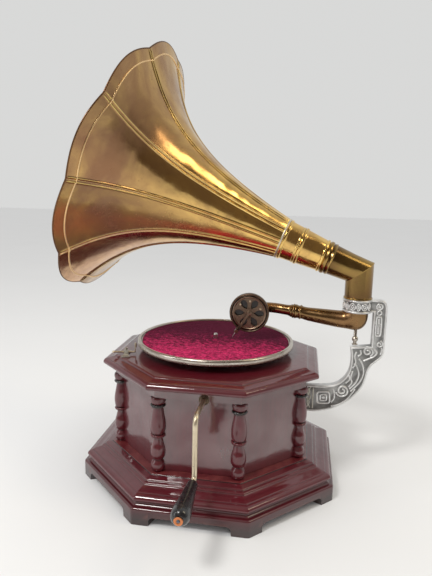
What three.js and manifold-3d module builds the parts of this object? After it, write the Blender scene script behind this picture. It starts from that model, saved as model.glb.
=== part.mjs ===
// Table gramophone: an octagonal motor cabinet on bracket feet, with its spring motor,
// turntable, winding crank, brake, cast bracket, swinging tone arm, sound box and a
// flower horn of ten petals. Millimetres, +Z up, the crank side faces -Y and the cast
// bracket stands on the +X side. The origin is the middle of the footprint, on the floor.

import * as THREE from 'three';
import { mergeVertices } from 'three/addons/utils/BufferGeometryUtils.js';
import Module from 'manifold-3d';

const wasm = await Module();
wasm.setup();

// ---------------------------------------------------------------------------
// Driving dimensions
// ---------------------------------------------------------------------------

// Clearances.
const seatGap = 0.3; // air between two pieces that sit against each other
const runningGap = 0.4; // air round a shaft in its bearing, per side

// Cabinet carcass, a regular octagon. An apothem is half the size across the flats.
const footApothem = 198;
const footWall = 18;
const footHeight = 25;
const footWing = 24;
const footArchHeight = 12.8;
const footArchRadius = 7;
const plinthHeight = 29.7;
const plinthOverhang = 14; // how far the top of the plinth stands out past the panels
const panelApothem = 142;
const panelThickness = 15;
const panelHeight = 130;
const friezeThickness = 7.7;
const friezeHeight = 16.5;
const friezeCove = 5.2; // height of the hollow moulding under the deck
const friezeCoveReach = 12;
const deckApothem = 168.2;
const deckThickness = 14.4;

// Turned corner columns.
const columnRadius = 11.6;
const columnNeckRadius = 6.2;
const columnSides = 10;

// Turntable.
const platterRadius = 127;
const platterRimHeight = 9.6;
const platterAboveDeck = 11.4;
const platterDish = 3.6; // how deep the felt bed lies below the rim
const platterWeb = 4;
const feltThickness = 1.4;
const feltMargin = 6.8;
const spindleRadius = 3.6;
const spindleAbovePlatter = 7;

// Crank.
const crankX = 9.3;
const crankBelowDeck = 14;
const crankRodRadius = 3.5;
const crankReach = 211; // from the cabinet axis to the plane of the crank arm
const crankArm = 85.5;
const crankBend = 12;
const gripLength = 80;
const gripRadius = 11.5;
const gripRootRadius = 7;
const washerThickness = 1.2;
const escutcheonRadius = 7.5;
const escutcheonThickness = 2;

// Brake.
const brakePlace = [-133, -61];
const brakeTurn = 13.9 * Math.PI / 180; // the way the brake rod slides, from +X towards +Y
const brakeSpan = 37; // across the two wings of its plate
const brakeRodRadius = 1.4;
const brakeRodTail = 20; // from the plate's middle back to the free end
const brakeTravel = 2.6;

// Motor.
const motorPlate = { left: -64, right: 70, front: -102, back: 46 };
const motorPlateThickness = 3;
const motorPillarRadius = 4;
const motorPillarInset = 8;
const motorHang = 5.3; // air between the deck and the upper plate
const motorHeight = 74; // between the two plates
const gearModule = 2.25;
const spindlePinionTeeth = 8;
const secondWheelTeeth = 32;
const secondPinionTeeth = 8;
const barrelTeeth = 40;
const barrelDistance = 60; // from the turntable spindle to the spring barrel
const arborRadius = 5;
const drumRadius = 42;
const drumHeight = 28;
const drumWall = 2;
const gearThickness = 5;
const mainspringTurns = 4;
const mainspringThickness = 1.3;
const windingWheelRadius = 24;
const windingPinionRadius = 8;
const windingPinionLength = 8;
const windingWheelTeeth = 18;
const windingPinionTeeth = 6;
const wormWheelRadius = 14;
const wormRadius = 5;
const governorLength = 92;
const governorBallOrbit = 13;
const governorBallRadius = 4;

// Cast bracket.
const pivotX = 223; // the vertical axis that the tone arm and the horn turn on
const bracketThickness = 14;
const collarRadius = 22.5;
const collarHeight = 20.7;
const collarTop = 298;
const flangeThickness = 5.2;
const flangeWidth = 44;
const flangeHeight = 54;
const flangeMiddle = 131;
const bracketBack = 268.5; // the outer face of the upright post
const bracketPost = 21; // how wide the post is
const bracketLedge = 222; // the shelf that carries the pivot screw
const pivotRodRadius = 2.6;
const pivotBallRadius = 4.9;

// Tone arm and sound box.
const armHeadRadius = 17.4;
const armWall = 1.8;
const armHeadBottom = 250.5;
const armHeadDome = 24.5; // height of the rounded toe of the head
const armPivotDepth = 2.2; // how deep the pivot screw's point goes into the toe
const armJoint = [127, 8, 270];
const armJointRadius = 11;
const neckRadius = 8.2;
const neckWall = 1.4;
const soundboxCentre = [54.5, 0, 265.5];
const soundboxRadius = 32;
const soundboxThickness = 14;
const needleReach = 50; // from the middle of the sound box to the needle's point
const needleTurn = 32.6 * Math.PI / 180; // how far the stylus bar leans from straight down

// Horn.
const elbowRadius = 20.7;
const elbowWall = 1.5;
const elbowHeight = 340;
const hornRise = 21.0 * Math.PI / 180;
const hornTurn = 4.15 * Math.PI / 180;
const elbowLength = 58;
const throatLength = 128;
const throatStartRadius = 24.6;
const bellStartRadius = 31;
const bellLength = 407; // along the axis, from the elbow to the notches between petals
const bellGrowth = 0.0055; // the slow exponential growth of the bell, per millimetre
const bellLipGrowth = 55.2;
const bellLipPower = 6.5;
const petalCount = 10;
const petalLobe = 2.8; // how far a petal's rounded end passes the notches, along the axis
const petalPhase = 1.3443;
const sheetThickness = 1;

// ---------------------------------------------------------------------------
// Materials
// ---------------------------------------------------------------------------

function metal(color, roughness) {
  return new THREE.MeshStandardMaterial({ color, roughness, metalness: 0.9 });
}

function matt(color, roughness) {
  return new THREE.MeshStandardMaterial({ color, roughness, metalness: 0 });
}

const mahogany = matt(0x5c2416, 0.35);
const hornBrass = metal(0xb98b45, 0.4);
const armBrass = metal(0x7d6034, 0.45);
const castMetal = metal(0x8f8b80, 0.5);
const nickel = metal(0xcfc8b4, 0.3);
const steel = metal(0x9a9a98, 0.4);
const gearBrass = metal(0xb0903f, 0.4);
const bronze = metal(0x5a4630, 0.45);
const velvet = matt(0x8a2350, 0.9);
const ebonised = matt(0x171310, 0.4);
const mica = matt(0xc9c2a8, 0.3);
const leather = matt(0x6a4426, 0.8);
const copper = metal(0xa8603c, 0.4);

// ---------------------------------------------------------------------------
// Levels and places that follow from the sizes above
// ---------------------------------------------------------------------------

const plinthBottom = footHeight + seatGap;
const plinthTop = plinthBottom + plinthHeight;
const panelBottom = plinthTop + seatGap;
const panelTop = panelBottom + panelHeight;
const deckBottom = panelTop + seatGap;
const deckTop = deckBottom + deckThickness;
const friezeBottom = panelTop - friezeHeight;
const friezeApothem = panelApothem + seatGap + friezeThickness;
const octagonHalf = Math.PI / 8;
const columnPlanRadius = panelApothem / Math.cos(octagonHalf);

const platterBottom = deckTop + platterAboveDeck;
const platterTop = platterBottom + platterRimHeight;
const feltBottom = platterTop - platterDish + seatGap;
const spindleTop = platterTop + spindleAbovePlatter;

const crankZ = deckBottom - crankBelowDeck;
const gripZ = crankZ - crankArm;

const upperPlateTop = deckBottom - motorHang;
const upperPlateBottom = upperPlateTop - motorPlateThickness;
const lowerPlateTop = upperPlateBottom - motorHeight;
const lowerPlateBottom = lowerPlateTop - motorPlateThickness;

const spindlePinionRadius = gearModule * spindlePinionTeeth / 2;
const secondWheelRadius = gearModule * secondWheelTeeth / 2;
const secondPinionRadius = gearModule * secondPinionTeeth / 2;
const barrelRadius = gearModule * barrelTeeth / 2;
const secondDistance = secondWheelRadius + spindlePinionRadius;
const barrelMesh = barrelRadius + secondPinionRadius;
const barrelAxis = [crankX, -Math.sqrt(barrelDistance ** 2 - crankX ** 2)];
const barrelAngle = Math.atan2(barrelAxis[1], barrelAxis[0]);
const secondAngle = barrelAngle - Math.acos(
  (secondDistance ** 2 + barrelDistance ** 2 - barrelMesh ** 2) / (2 * secondDistance * barrelDistance),
);
const secondAxis = [secondDistance * Math.cos(secondAngle), secondDistance * Math.sin(secondAngle)];

const drumBottom = lowerPlateTop + 7;
const greatWheelBottom = drumBottom + drumHeight;
const secondWheelBottom = greatWheelBottom + gearThickness + 6;
const windingWheelTop = crankZ - windingPinionRadius - seatGap;
const crankInnerEnd = barrelAxis[1] - windingWheelRadius - 2;
const governorZ = lowerPlateTop + governorBallOrbit + governorBallRadius + 3;
const governorY = wormWheelRadius + wormRadius + seatGap;

const hornAxis = new THREE.Vector3(
  -Math.cos(hornRise) * Math.cos(hornTurn),
  Math.cos(hornRise) * Math.sin(hornTurn),
  Math.sin(hornRise),
);
const hornOrigin = new THREE.Vector3(pivotX, 0, elbowHeight);

// ---------------------------------------------------------------------------
// Geometry helpers
// ---------------------------------------------------------------------------

const parts = new THREE.Group();

// Adds one named piece to the model.
function addPart(name, geometry, material) {
  const mesh = new THREE.Mesh(geometry, material);
  mesh.name = name;
  parts.add(mesh);
  return mesh;
}

// A geometry with only welded positions, as a boolean needs it.
function weld(geometry) {
  const bare = geometry.clone();
  bare.deleteAttribute('normal');
  bare.deleteAttribute('uv');
  return mergeVertices(bare, 1e-4);
}

function toSolid(geometry) {
  const welded = weld(geometry);
  return new wasm.Manifold(new wasm.Mesh({
    numProp: 3,
    vertProperties: new Float32Array(welded.attributes.position.array),
    triVerts: new Uint32Array(welded.index.array),
  }));
}

function fromSolid(solid) {
  const mesh = solid.getMesh();
  const geometry = new THREE.BufferGeometry();
  geometry.setAttribute('position', new THREE.BufferAttribute(new Float32Array(mesh.vertProperties), 3));
  geometry.setIndex(new THREE.BufferAttribute(new Uint32Array(mesh.triVerts), 1));
  geometry.computeVertexNormals();
  return geometry;
}

function join(...geometries) {
  return fromSolid(geometries.map(toSolid).reduce((sum, next) => sum.add(next)));
}

function cut(geometry, ...tools) {
  return fromSolid(tools.map(toSolid).reduce((rest, tool) => rest.subtract(tool), toSolid(geometry)));
}

// A solid turned about +Z. Each profile point is [radius, z]; the profile starts and ends on
// the axis, or closes on itself.
function turned(profile, sides, phase = 0) {
  const points = profile.map(([radius, z]) => new THREE.Vector2(radius, z));
  const closed = profile[0][0] > 0;
  if (closed) {
    points.push(points[0].clone());
  }
  const geometry = new THREE.LatheGeometry(points, sides, phase, Math.PI * 2);
  geometry.rotateX(Math.PI / 2);
  return outward(geometry);
}

// Turns the faces of a closed mesh outwards.
function outward(geometry) {
  const welded = weld(geometry);
  const position = welded.attributes.position;
  const index = welded.index.array;
  const [a, b, c] = [new THREE.Vector3(), new THREE.Vector3(), new THREE.Vector3()];
  const kept = [];
  let volume = 0;
  for (let i = 0; i < index.length; i += 3) {
    const corners = [index[i], index[i + 1], index[i + 2]];
    if (new Set(corners).size < 3) {
      continue;
    }
    kept.push(...corners);
    [a, b, c].forEach((corner, k) => corner.fromBufferAttribute(position, corners[k]));
    volume += a.dot(b.cross(c));
  }
  if (volume < 0) {
    kept.reverse();
  }
  welded.setIndex(kept);
  welded.computeVertexNormals();
  return welded;
}

// An octagonal solid turned about +Z, its profile given in apothems.
function octagonal(profile) {
  const stretch = 1 / Math.cos(octagonHalf);
  return turned(profile.map(([apothem, z]) => [apothem * stretch, z]), 8, octagonHalf);
}

// A round bar along +Z.
function bar(radius, bottom, top, sides = 12) {
  return turned([[0, bottom], [radius, bottom], [radius, top], [0, top]], sides);
}

// A flat plate: a Shape in the XY plane raised from one level to another.
function plate(shape, bottom, top, curveSegments = 6) {
  const geometry = new THREE.ExtrudeGeometry(shape, { depth: top - bottom, bevelEnabled: false, curveSegments });
  geometry.translate(0, 0, bottom);
  return geometry;
}

// A block between two corners.
function block(low, high) {
  const geometry = new THREE.BoxGeometry(high[0] - low[0], high[1] - low[1], high[2] - low[2]);
  geometry.translate((low[0] + high[0]) / 2, (low[1] + high[1]) / 2, (low[2] + high[2]) / 2);
  return geometry;
}

// Turns a piece made about +Z so that +Z points along an axis, then moves it.
function aim(geometry, axis, place) {
  const turn = new THREE.Quaternion().setFromUnitVectors(new THREE.Vector3(0, 0, 1), axis);
  geometry.applyQuaternion(turn);
  geometry.translate(place.x, place.y, place.z);
  return geometry;
}

function along(geometry, axis, x, y, z) {
  return aim(geometry, new THREE.Vector3(...axis), new THREE.Vector3(x, y, z));
}

// Skins a list of rings, each an array of as many points. Rings closed into a loop make a tube
// with its bore; an open list gets a flat cap at each end.
function skin(rings, loop = false) {
  const count = rings[0].length;
  const points = rings.flat();
  const index = [];
  const last = loop ? rings.length : rings.length - 1;
  for (let row = 0; row < last; row += 1) {
    const next = (row + 1) % rings.length;
    for (let k = 0; k < count; k += 1) {
      const side = (k + 1) % count;
      const [p, q] = [row * count + k, row * count + side];
      const [r, s] = [next * count + k, next * count + side];
      index.push(p, q, s, p, s, r);
    }
  }
  if (!loop) {
    for (let k = 1; k < count - 1; k += 1) {
      const top = (rings.length - 1) * count;
      index.push(0, k + 1, k, top, top + k, top + k + 1);
    }
  }
  const geometry = new THREE.BufferGeometry().setFromPoints(points);
  geometry.setIndex(index);
  return outward(geometry);
}

// A circle of points round a place, square to a direction. The circle's start follows from the
// shortest turn that takes +Z to that direction.
function ring(place, direction, radius, sides, start = new THREE.Vector3(0, 0, 1)) {
  const turn = new THREE.Quaternion().setFromUnitVectors(start, direction);
  return Array.from({ length: sides }, (_, k) => {
    const angle = k * 2 * Math.PI / sides;
    const offset = new THREE.Vector3(Math.cos(angle) * radius, Math.sin(angle) * radius, 0);
    return offset.applyQuaternion(turn).add(place);
  });
}

// Rings of given radii along a path of points, carried from one to the next without twisting.
function sweepRings(path, radii, sides) {
  const directions = path.map((point, k) => {
    const before = path[Math.max(k - 1, 0)];
    const after = path[Math.min(k + 1, path.length - 1)];
    return after.clone().sub(before).normalize();
  });
  const turn = new THREE.Quaternion().setFromUnitVectors(new THREE.Vector3(0, 0, 1), directions[0]);
  return path.map((point, k) => {
    if (k > 0) {
      turn.premultiply(new THREE.Quaternion().setFromUnitVectors(directions[k - 1], directions[k]));
    }
    return Array.from({ length: sides }, (_, j) => {
      const angle = j * 2 * Math.PI / sides;
      const offset = new THREE.Vector3(Math.cos(angle) * radii[k], Math.sin(angle) * radii[k], 0);
      return offset.applyQuaternion(turn).add(point);
    });
  });
}

// A hollow or solid tube of changing radius along a path.
function sweep(path, radii, sides, wall = 0) {
  const outer = sweepRings(path, radii, sides);
  if (wall === 0) {
    return skin(outer);
  }
  const inner = sweepRings(path, radii.map((radius) => radius - wall), sides);
  return skin([...outer, ...inner.reverse()], true);
}

// The arc that rounds a square corner of a path, as points.
function cornerArc(corner, from, to, radius, steps) {
  const start = corner.clone().addScaledVector(from, -radius);
  const centre = start.clone().addScaledVector(to, radius);
  return Array.from({ length: steps + 1 }, (_, k) => {
    const angle = k * Math.PI / 2 / steps;
    return centre.clone()
      .addScaledVector(to, -Math.cos(angle) * radius)
      .addScaledVector(from, Math.sin(angle) * radius);
  });
}

function vector(x, y, z) {
  return new THREE.Vector3(x, y, z);
}

// A gear of straight-sided teeth with room for running, as a Shape.
const toothAddendum = 0.8;
const toothDedendum = 1.1;
const toothRootHalf = 0.26;
const toothTipHalf = 0.11;

function gearShape(teeth, pitchRadius, turn, bore) {
  const shape = new THREE.Shape();
  const module = 2 * pitchRadius / teeth;
  const root = pitchRadius - toothDedendum * module;
  const tip = pitchRadius + toothAddendum * module;
  const corners = [[-toothRootHalf, root], [-toothTipHalf, tip], [toothTipHalf, tip], [toothRootHalf, root]];
  for (let tooth = 0; tooth < teeth; tooth += 1) {
    for (const [fraction, radius] of corners) {
      const angle = turn + (tooth + fraction) * 2 * Math.PI / teeth;
      shape.lineTo(radius * Math.cos(angle), radius * Math.sin(angle));
    }
  }
  shape.curves.shift();
  shape.closePath();
  if (bore > 0) {
    const hole = new THREE.Path();
    hole.absarc(0, 0, bore, 0, 2 * Math.PI, true);
    shape.holes.push(hole);
  }
  return shape;
}

// ---------------------------------------------------------------------------
// Cabinet
// ---------------------------------------------------------------------------

// The ring of bracket feet: a low octagonal frame with a shallow arch cut in each side.
function makeFootFrame() {
  const inner = footApothem - footWall;
  const frame = octagonal([[inner, 0], [footApothem, 0], [footApothem, footHeight], [inner, footHeight]]);
  const sideLength = 2 * footApothem * Math.tan(octagonHalf);
  const half = sideLength / 2 - footWing;
  const arch = new THREE.Shape();
  arch.moveTo(-half, -1);
  arch.lineTo(half, -1);
  arch.lineTo(half, footArchHeight - footArchRadius);
  arch.absarc(half - footArchRadius, footArchHeight - footArchRadius, footArchRadius, 0, Math.PI / 2, false);
  arch.absarc(footArchRadius - half, footArchHeight - footArchRadius, footArchRadius, Math.PI / 2, Math.PI, false);
  arch.closePath();
  const tools = [];
  for (let side = 0; side < 8; side += 1) {
    const tool = plate(arch, 0, footWall * 2, 2);
    tool.rotateX(Math.PI / 2);
    tool.translate(0, -footApothem + footWall * 1.5, 0);
    tool.rotateZ(side * Math.PI / 4);
    tools.push(tool);
  }
  addPart('foot_frame', cut(frame, ...tools), mahogany);
}

// The moulded plinth: bead, cove, bead and three small steps up to the panels. The profile is
// given as steps in from the foot frame and up from its top.
function makePlinth() {
  const top = panelApothem + plinthOverhang;
  const run = footApothem - top;
  const edge = [
    [3.2, 0], [1, 1.6], [2.6, 3.9], [5.6, 5.1], [9.2, 8.2], [11, 11.4], [9.7, 13.5], [11.4, 15.9],
    [22, 16.6], [25.5, 18.2], [27, 19.8], [31.8, 20.6], [32.4, 22.6], [36, 23.4], [37.3, 26], [40.2, 26.8],
  ];
  const scale = run / 42;
  const rise = plinthHeight / 29.7;
  const profile = edge.map(([inward, up]) => [footApothem - inward * scale, plinthBottom + up * rise]);
  addPart('plinth', octagonal([[0, plinthBottom], ...profile, [top, plinthTop], [0, plinthTop]]), mahogany);
}

// One side board, mitred at both ends, with a round seat at each end for the corner columns.
function makePanels() {
  const outer = panelApothem;
  const inner = panelApothem - panelThickness;
  const slope = Math.tan(octagonHalf);
  const mitreGap = seatGap / 2 / Math.cos(octagonHalf);
  const board = new THREE.Shape();
  board.moveTo(-outer * slope + mitreGap, -outer);
  board.lineTo(outer * slope - mitreGap, -outer);
  board.lineTo(inner * slope - mitreGap, -inner);
  board.lineTo(-inner * slope + mitreGap, -inner);
  board.closePath();
  for (let side = 0; side < 8; side += 1) {
    const panel = plate(board, panelBottom, panelTop);
    panel.rotateZ(side * Math.PI / 4);
    const isFront = side === 0;
    let finished = panel;
    if (isFront) {
      const hole = along(bar(crankRodRadius + runningGap, -panelThickness * 2, panelThickness * 2), [0, 1, 0],
        crankX, -outer, crankZ);
      finished = cut(panel, hole);
    }
    addPart(`side_panel_${side + 1}`, finished, mahogany);
  }
}

// A turned column: cup foot, lower belly, waist ring, upper vase, thin ring and bowl cap. Its back
// is notched to sit over the mitred corner of the panels.
function makeColumns() {
  const bottom = panelBottom;
  const height = friezeBottom - seatGap - panelBottom;
  const [wide, neck] = [columnRadius, columnNeckRadius];
  // Each entry is a fraction of the height and a share of the way from neck to full radius.
  const profile = [
    [0, 0.3], [0.05, 0.76], [0.095, 0.78], [0.14, 0.3], [0.155, 0.3], [0.2, 0.82], [0.25, 0.95], [0.33, 0.7],
    [0.4, 0.22], [0.462, 0.1], [0.47, 0.82], [0.5, 0.82], [0.508, 0.5], [0.55, 0.86], [0.62, 1], [0.72, 0.8],
    [0.86, 0.3], [0.868, 0.95], [0.9, 0.95], [0.908, 0.55], [0.95, 0.92], [1, 0.86],
  ];
  const outline = profile.map(([up, out]) => [neck + (wide - neck) * out, bottom + height * up]);
  const corner = octagonal([
    [0, panelBottom - 1], [panelApothem + seatGap, panelBottom - 1], [panelApothem + seatGap, panelTop + 1],
    [0, panelTop + 1],
  ]);
  for (let number = 0; number < 8; number += 1) {
    const column = turned([[0, bottom], ...outline, [0, bottom + height]], columnSides);
    const angle = -Math.PI / 2 + octagonHalf + number * Math.PI / 4;
    column.rotateZ(angle);
    column.translate(columnPlanRadius * Math.cos(angle), columnPlanRadius * Math.sin(angle), 0);
    addPart(`column_${number + 1}`, cut(column, corner), mahogany);
  }
}

// The frieze that runs round the panels over the column tops.
function makeFrieze() {
  const inner = friezeApothem - friezeThickness;
  const band = octagonal([
    [inner, friezeBottom], [friezeApothem, friezeBottom], [friezeApothem, panelTop - friezeCove],
    [friezeApothem + friezeCoveReach * 0.25, panelTop - friezeCove * 0.7],
    [friezeApothem + friezeCoveReach * 0.9, panelTop - friezeCove * 0.2],
    [friezeApothem + friezeCoveReach, panelTop], [inner, panelTop],
  ]);
  const hole = along(bar(crankRodRadius + runningGap, -friezeThickness * 2, friezeThickness * 2), [0, 1, 0],
    crankX, -friezeApothem, crankZ);
  addPart('frieze', cut(band, hole), mahogany);
}

// The moulded top board that the turntable runs over.
function makeDeck() {
  const edge = [[1.6, 0], [0, 2], [0, 4.6], [1.4, 7.4], [4.5, 8.8], [10, 10.2], [16.5, 12.4], [21.5, 14.4]];
  const rise = deckThickness / 14.4;
  const profile = edge.map(([inward, up]) => [deckApothem - inward, deckBottom + up * rise]);
  const board = octagonal([[0, deckBottom], ...profile, [0, deckTop]]);
  const hole = bar(spindleRadius + 1.5, deckBottom - 1, deckTop + 1);
  addPart('deck', cut(board, hole), mahogany);
}

makeFootFrame();
makePlinth();
makePanels();
makeColumns();
makeFrieze();
makeDeck();

// ---------------------------------------------------------------------------
// Turntable
// ---------------------------------------------------------------------------

function makeTurntable() {
  const hole = spindleRadius + seatGap;
  const hubRadius = 12;
  const hubBottom = platterBottom - 8;
  const bed = platterTop - platterDish;
  const underside = bed - platterWeb;
  const rim = platterRadius;
  addPart('platter', turned([
    [hole, hubBottom], [hubRadius, hubBottom], [hubRadius, underside], [rim - 5, underside],
    [rim - 4.6, platterBottom], [rim - 2, platterBottom], [rim, platterBottom + 3.4],
    [rim - 0.6, platterTop - 1.6], [rim - 3, platterTop], [rim - 5.4, platterTop - 1.2],
    [rim - feltMargin + 0.6, bed], [hole, bed],
  ], 36), nickel);
  addPart('platter_felt', turned([
    [hole, feltBottom], [rim - feltMargin, feltBottom], [rim - feltMargin - 0.8, feltBottom + feltThickness],
    [hole, feltBottom + feltThickness],
  ], 30), velvet);

  const collarZ = hubBottom - seatGap;
  const shaft = turned([
    [0, lowerPlateTop + seatGap], [spindleRadius, lowerPlateTop + seatGap], [spindleRadius, deckTop + 0.6],
    [7, deckTop + 0.6], [7, collarZ], [spindleRadius, collarZ], [spindleRadius, spindleTop - 2.5],
    [spindleRadius - 1.2, spindleTop - 0.6], [0, spindleTop],
  ], 12);
  const pinionBottom = secondWheelBottom - 1;
  const pinion = plate(gearShape(spindlePinionTeeth, spindlePinionRadius, secondAngle, 0),
    pinionBottom, pinionBottom + gearThickness + 2);
  const wormTeeth = 20;
  const wormWheelTip = wormWheelRadius / (1 + 2 * toothAddendum / wormTeeth);
  const wormWheel = plate(gearShape(wormTeeth, wormWheelTip, 0, 0), governorZ - 3, governorZ + 3);
  addPart('platter_spindle', join(shaft, pinion, wormWheel), steel);
}

makeTurntable();

// ---------------------------------------------------------------------------
// Crank
// ---------------------------------------------------------------------------

function makeCrank() {
  const inward = vector(0, 1, 0);
  const outwards = vector(0, -1, 0);
  const down = vector(0, 0, -1);
  const innerEnd = crankInnerEnd;
  const gripRoot = -crankReach - crankBend;
  const pinEnd = gripRoot - gripLength;
  const path = [
    vector(crankX, innerEnd, crankZ),
    ...cornerArc(vector(crankX, -crankReach, crankZ), outwards, down, crankBend, 5),
    ...cornerArc(vector(crankX, -crankReach, gripZ), down, outwards, crankBend - 4, 5),
    vector(crankX, pinEnd, gripZ),
  ];
  const rod = sweep(path, path.map(() => crankRodRadius), 8);
  const pinionPitch = windingPinionRadius / (1 + 2 * toothAddendum / windingPinionTeeth);
  const pinion = along(plate(gearShape(windingPinionTeeth, pinionPitch, 0, 0), 0, windingPinionLength), [0, 1, 0],
    crankX, innerEnd - 1, crankZ);
  const stub = 2;
  const tip = along(bar(stub, -2, washerThickness + seatGap * 2 + 0.4), [0, -1, 0], crankX, pinEnd, gripZ);
  const peenedHead = along(turned([
    [0, 0], [stub + 0.9, 0], [stub + 0.5, 0.7], [0, 0.9],
  ], 12), [0, -1, 0], crankX, pinEnd - washerThickness - seatGap * 2, gripZ);
  addPart('crank_rod', join(rod, pinion, tip, peenedHead), nickel);
  const washer = turned([
    [stub + seatGap, 0], [5, 0], [5, washerThickness], [stub + seatGap, washerThickness],
  ], 12);
  addPart('grip_washer', along(washer, [0, -1, 0], crankX, pinEnd - seatGap, gripZ), copper);

  const bore = crankRodRadius + runningGap;
  const root = gripRootRadius;
  const grip = turned([
    [bore, 0], [root - 1, 0], [root, 2], [root - 0.4, 8], [root + 0.6, gripLength * 0.28],
    [root + 2.4, gripLength * 0.5], [gripRadius - 0.7, gripLength * 0.7], [gripRadius, gripLength * 0.82],
    [gripRadius - 1.2, gripLength * 0.92], [gripRadius - 4, gripLength * 0.98],
    [gripRadius - 5.5, gripLength - 0.3], [bore, gripLength - 0.3],
  ], 16);
  addPart('crank_grip', along(grip, [0, -1, 0], crankX, gripRoot, gripZ), ebonised);

  const rose = turned([
    [bore, 0], [escutcheonRadius, 0], [escutcheonRadius, escutcheonThickness * 0.4],
    [escutcheonRadius - 2, escutcheonThickness], [bore, escutcheonThickness],
  ], 14);
  addPart('crank_escutcheon', along(rose, [0, -1, 0], crankX, -friezeApothem - seatGap, crankZ), gearBrass);
}

makeCrank();

// ---------------------------------------------------------------------------
// Brake
// ---------------------------------------------------------------------------

// A butterfly plate on the deck guides a sliding rod, whose leather pad bears on the rim.
function makeBrake() {
  const base = deckTop + seatGap;
  const thickness = 1.5;
  const wingTip = brakeSpan / 2;
  const wingHalf = 7.5;
  const waist = 3.5;
  const butterfly = new THREE.Shape();
  butterfly.moveTo(waist, 0);
  butterfly.quadraticCurveTo(waist, wingTip * 0.5, wingHalf, wingTip * 0.8);
  butterfly.quadraticCurveTo(wingHalf * 0.8, wingTip, 0, wingTip * 0.86);
  butterfly.quadraticCurveTo(-wingHalf * 0.8, wingTip, -wingHalf, wingTip * 0.8);
  butterfly.quadraticCurveTo(-waist, wingTip * 0.5, -waist, 0);
  butterfly.quadraticCurveTo(-waist, -wingTip * 0.5, -wingHalf, -wingTip * 0.8);
  butterfly.quadraticCurveTo(-wingHalf * 0.8, -wingTip, 0, -wingTip * 0.86);
  butterfly.quadraticCurveTo(wingHalf * 0.8, -wingTip, wingHalf, -wingTip * 0.8);
  butterfly.quadraticCurveTo(waist, -wingTip * 0.5, waist, 0);
  const rodZ = thickness + brakeRodRadius + 1.2;
  const bridgeHalf = brakeRodRadius + 1.6;
  const bridge = block([-waist, -bridgeHalf, 0], [waist, bridgeHalf, rodZ + bridgeHalf]);
  const bore = along(bar(brakeRodRadius + runningGap, -10, 10, 10), [1, 0, 0], 0, 0, rodZ);
  const knob = turned([[0, 0], [1.6, 0], [1.4, 1.4], [2.6, 2.4], [2.6, 4], [0, 5]], 10);
  knob.translate(0, 0, rodZ + bridgeHalf - 0.4);
  const guide = cut(join(plate(butterfly, 0, thickness, 3), bridge, knob), bore);

  // Distance from the plate to the rim along the rod.
  const [px, py] = brakePlace;
  const reach = px * Math.cos(brakeTurn) + py * Math.sin(brakeTurn);
  const toRim = -reach - Math.sqrt(reach ** 2 - (px ** 2 + py ** 2 - platterRadius ** 2));
  const padFace = toRim - brakeTravel - 0.8;
  const rod = along(bar(brakeRodRadius, -brakeRodTail, padFace - 1.7, 10), [1, 0, 0], 0, 0, rodZ);
  const finger = block(
    [padFace - 2.9, -1.7, rodZ - 1], [padFace - 1.6, 1.7, platterTop - base - 2],
  );
  const tail = new THREE.SphereGeometry(2.2, 8, 6);
  tail.translate(-brakeRodTail, 0, rodZ);
  const slider = join(rod, finger, tail);
  const pad = block(
    [padFace - 1.6 + seatGap, -2, platterBottom - base + 0.5], [padFace, 2, platterTop - base - 2.5],
  );
  for (const piece of [guide, slider, pad]) {
    piece.rotateZ(brakeTurn);
    piece.translate(px, py, base);
  }
  addPart('brake_plate', guide, nickel);
  addPart('brake_rod', slider, nickel);
  addPart('brake_pad', pad, leather);
}

makeBrake();

// ---------------------------------------------------------------------------
// Spring motor
// ---------------------------------------------------------------------------

const pillarSpots = [
  [motorPlate.left + motorPillarInset, motorPlate.front + motorPillarInset],
  [motorPlate.right - motorPillarInset, motorPlate.front + motorPillarInset],
  [motorPlate.right - motorPillarInset, motorPlate.back - motorPillarInset],
  [motorPlate.left + motorPillarInset, motorPlate.back - motorPillarInset],
];

function plateOutline() {
  const { left, right, front, back } = motorPlate;
  const corner = 6;
  const shape = new THREE.Shape();
  shape.moveTo(left + corner, front);
  shape.lineTo(right - corner, front);
  shape.absarc(right - corner, front + corner, corner, -Math.PI / 2, 0, false);
  shape.absarc(right - corner, back - corner, corner, 0, Math.PI / 2, false);
  shape.absarc(left + corner, back - corner, corner, Math.PI / 2, Math.PI, false);
  shape.absarc(left + corner, front + corner, corner, Math.PI, Math.PI * 1.5, false);
  return shape;
}

function holeAt([x, y], radius) {
  const hole = new THREE.Path();
  hole.absarc(x, y, radius, 0, Math.PI * 2, true);
  return hole;
}

const secondArborRadius = 3;
const governorLeft = -40;
const governorRight = governorLeft + governorLength;
const governorShaftRadius = 2;
const governorPost = 4;

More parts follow.
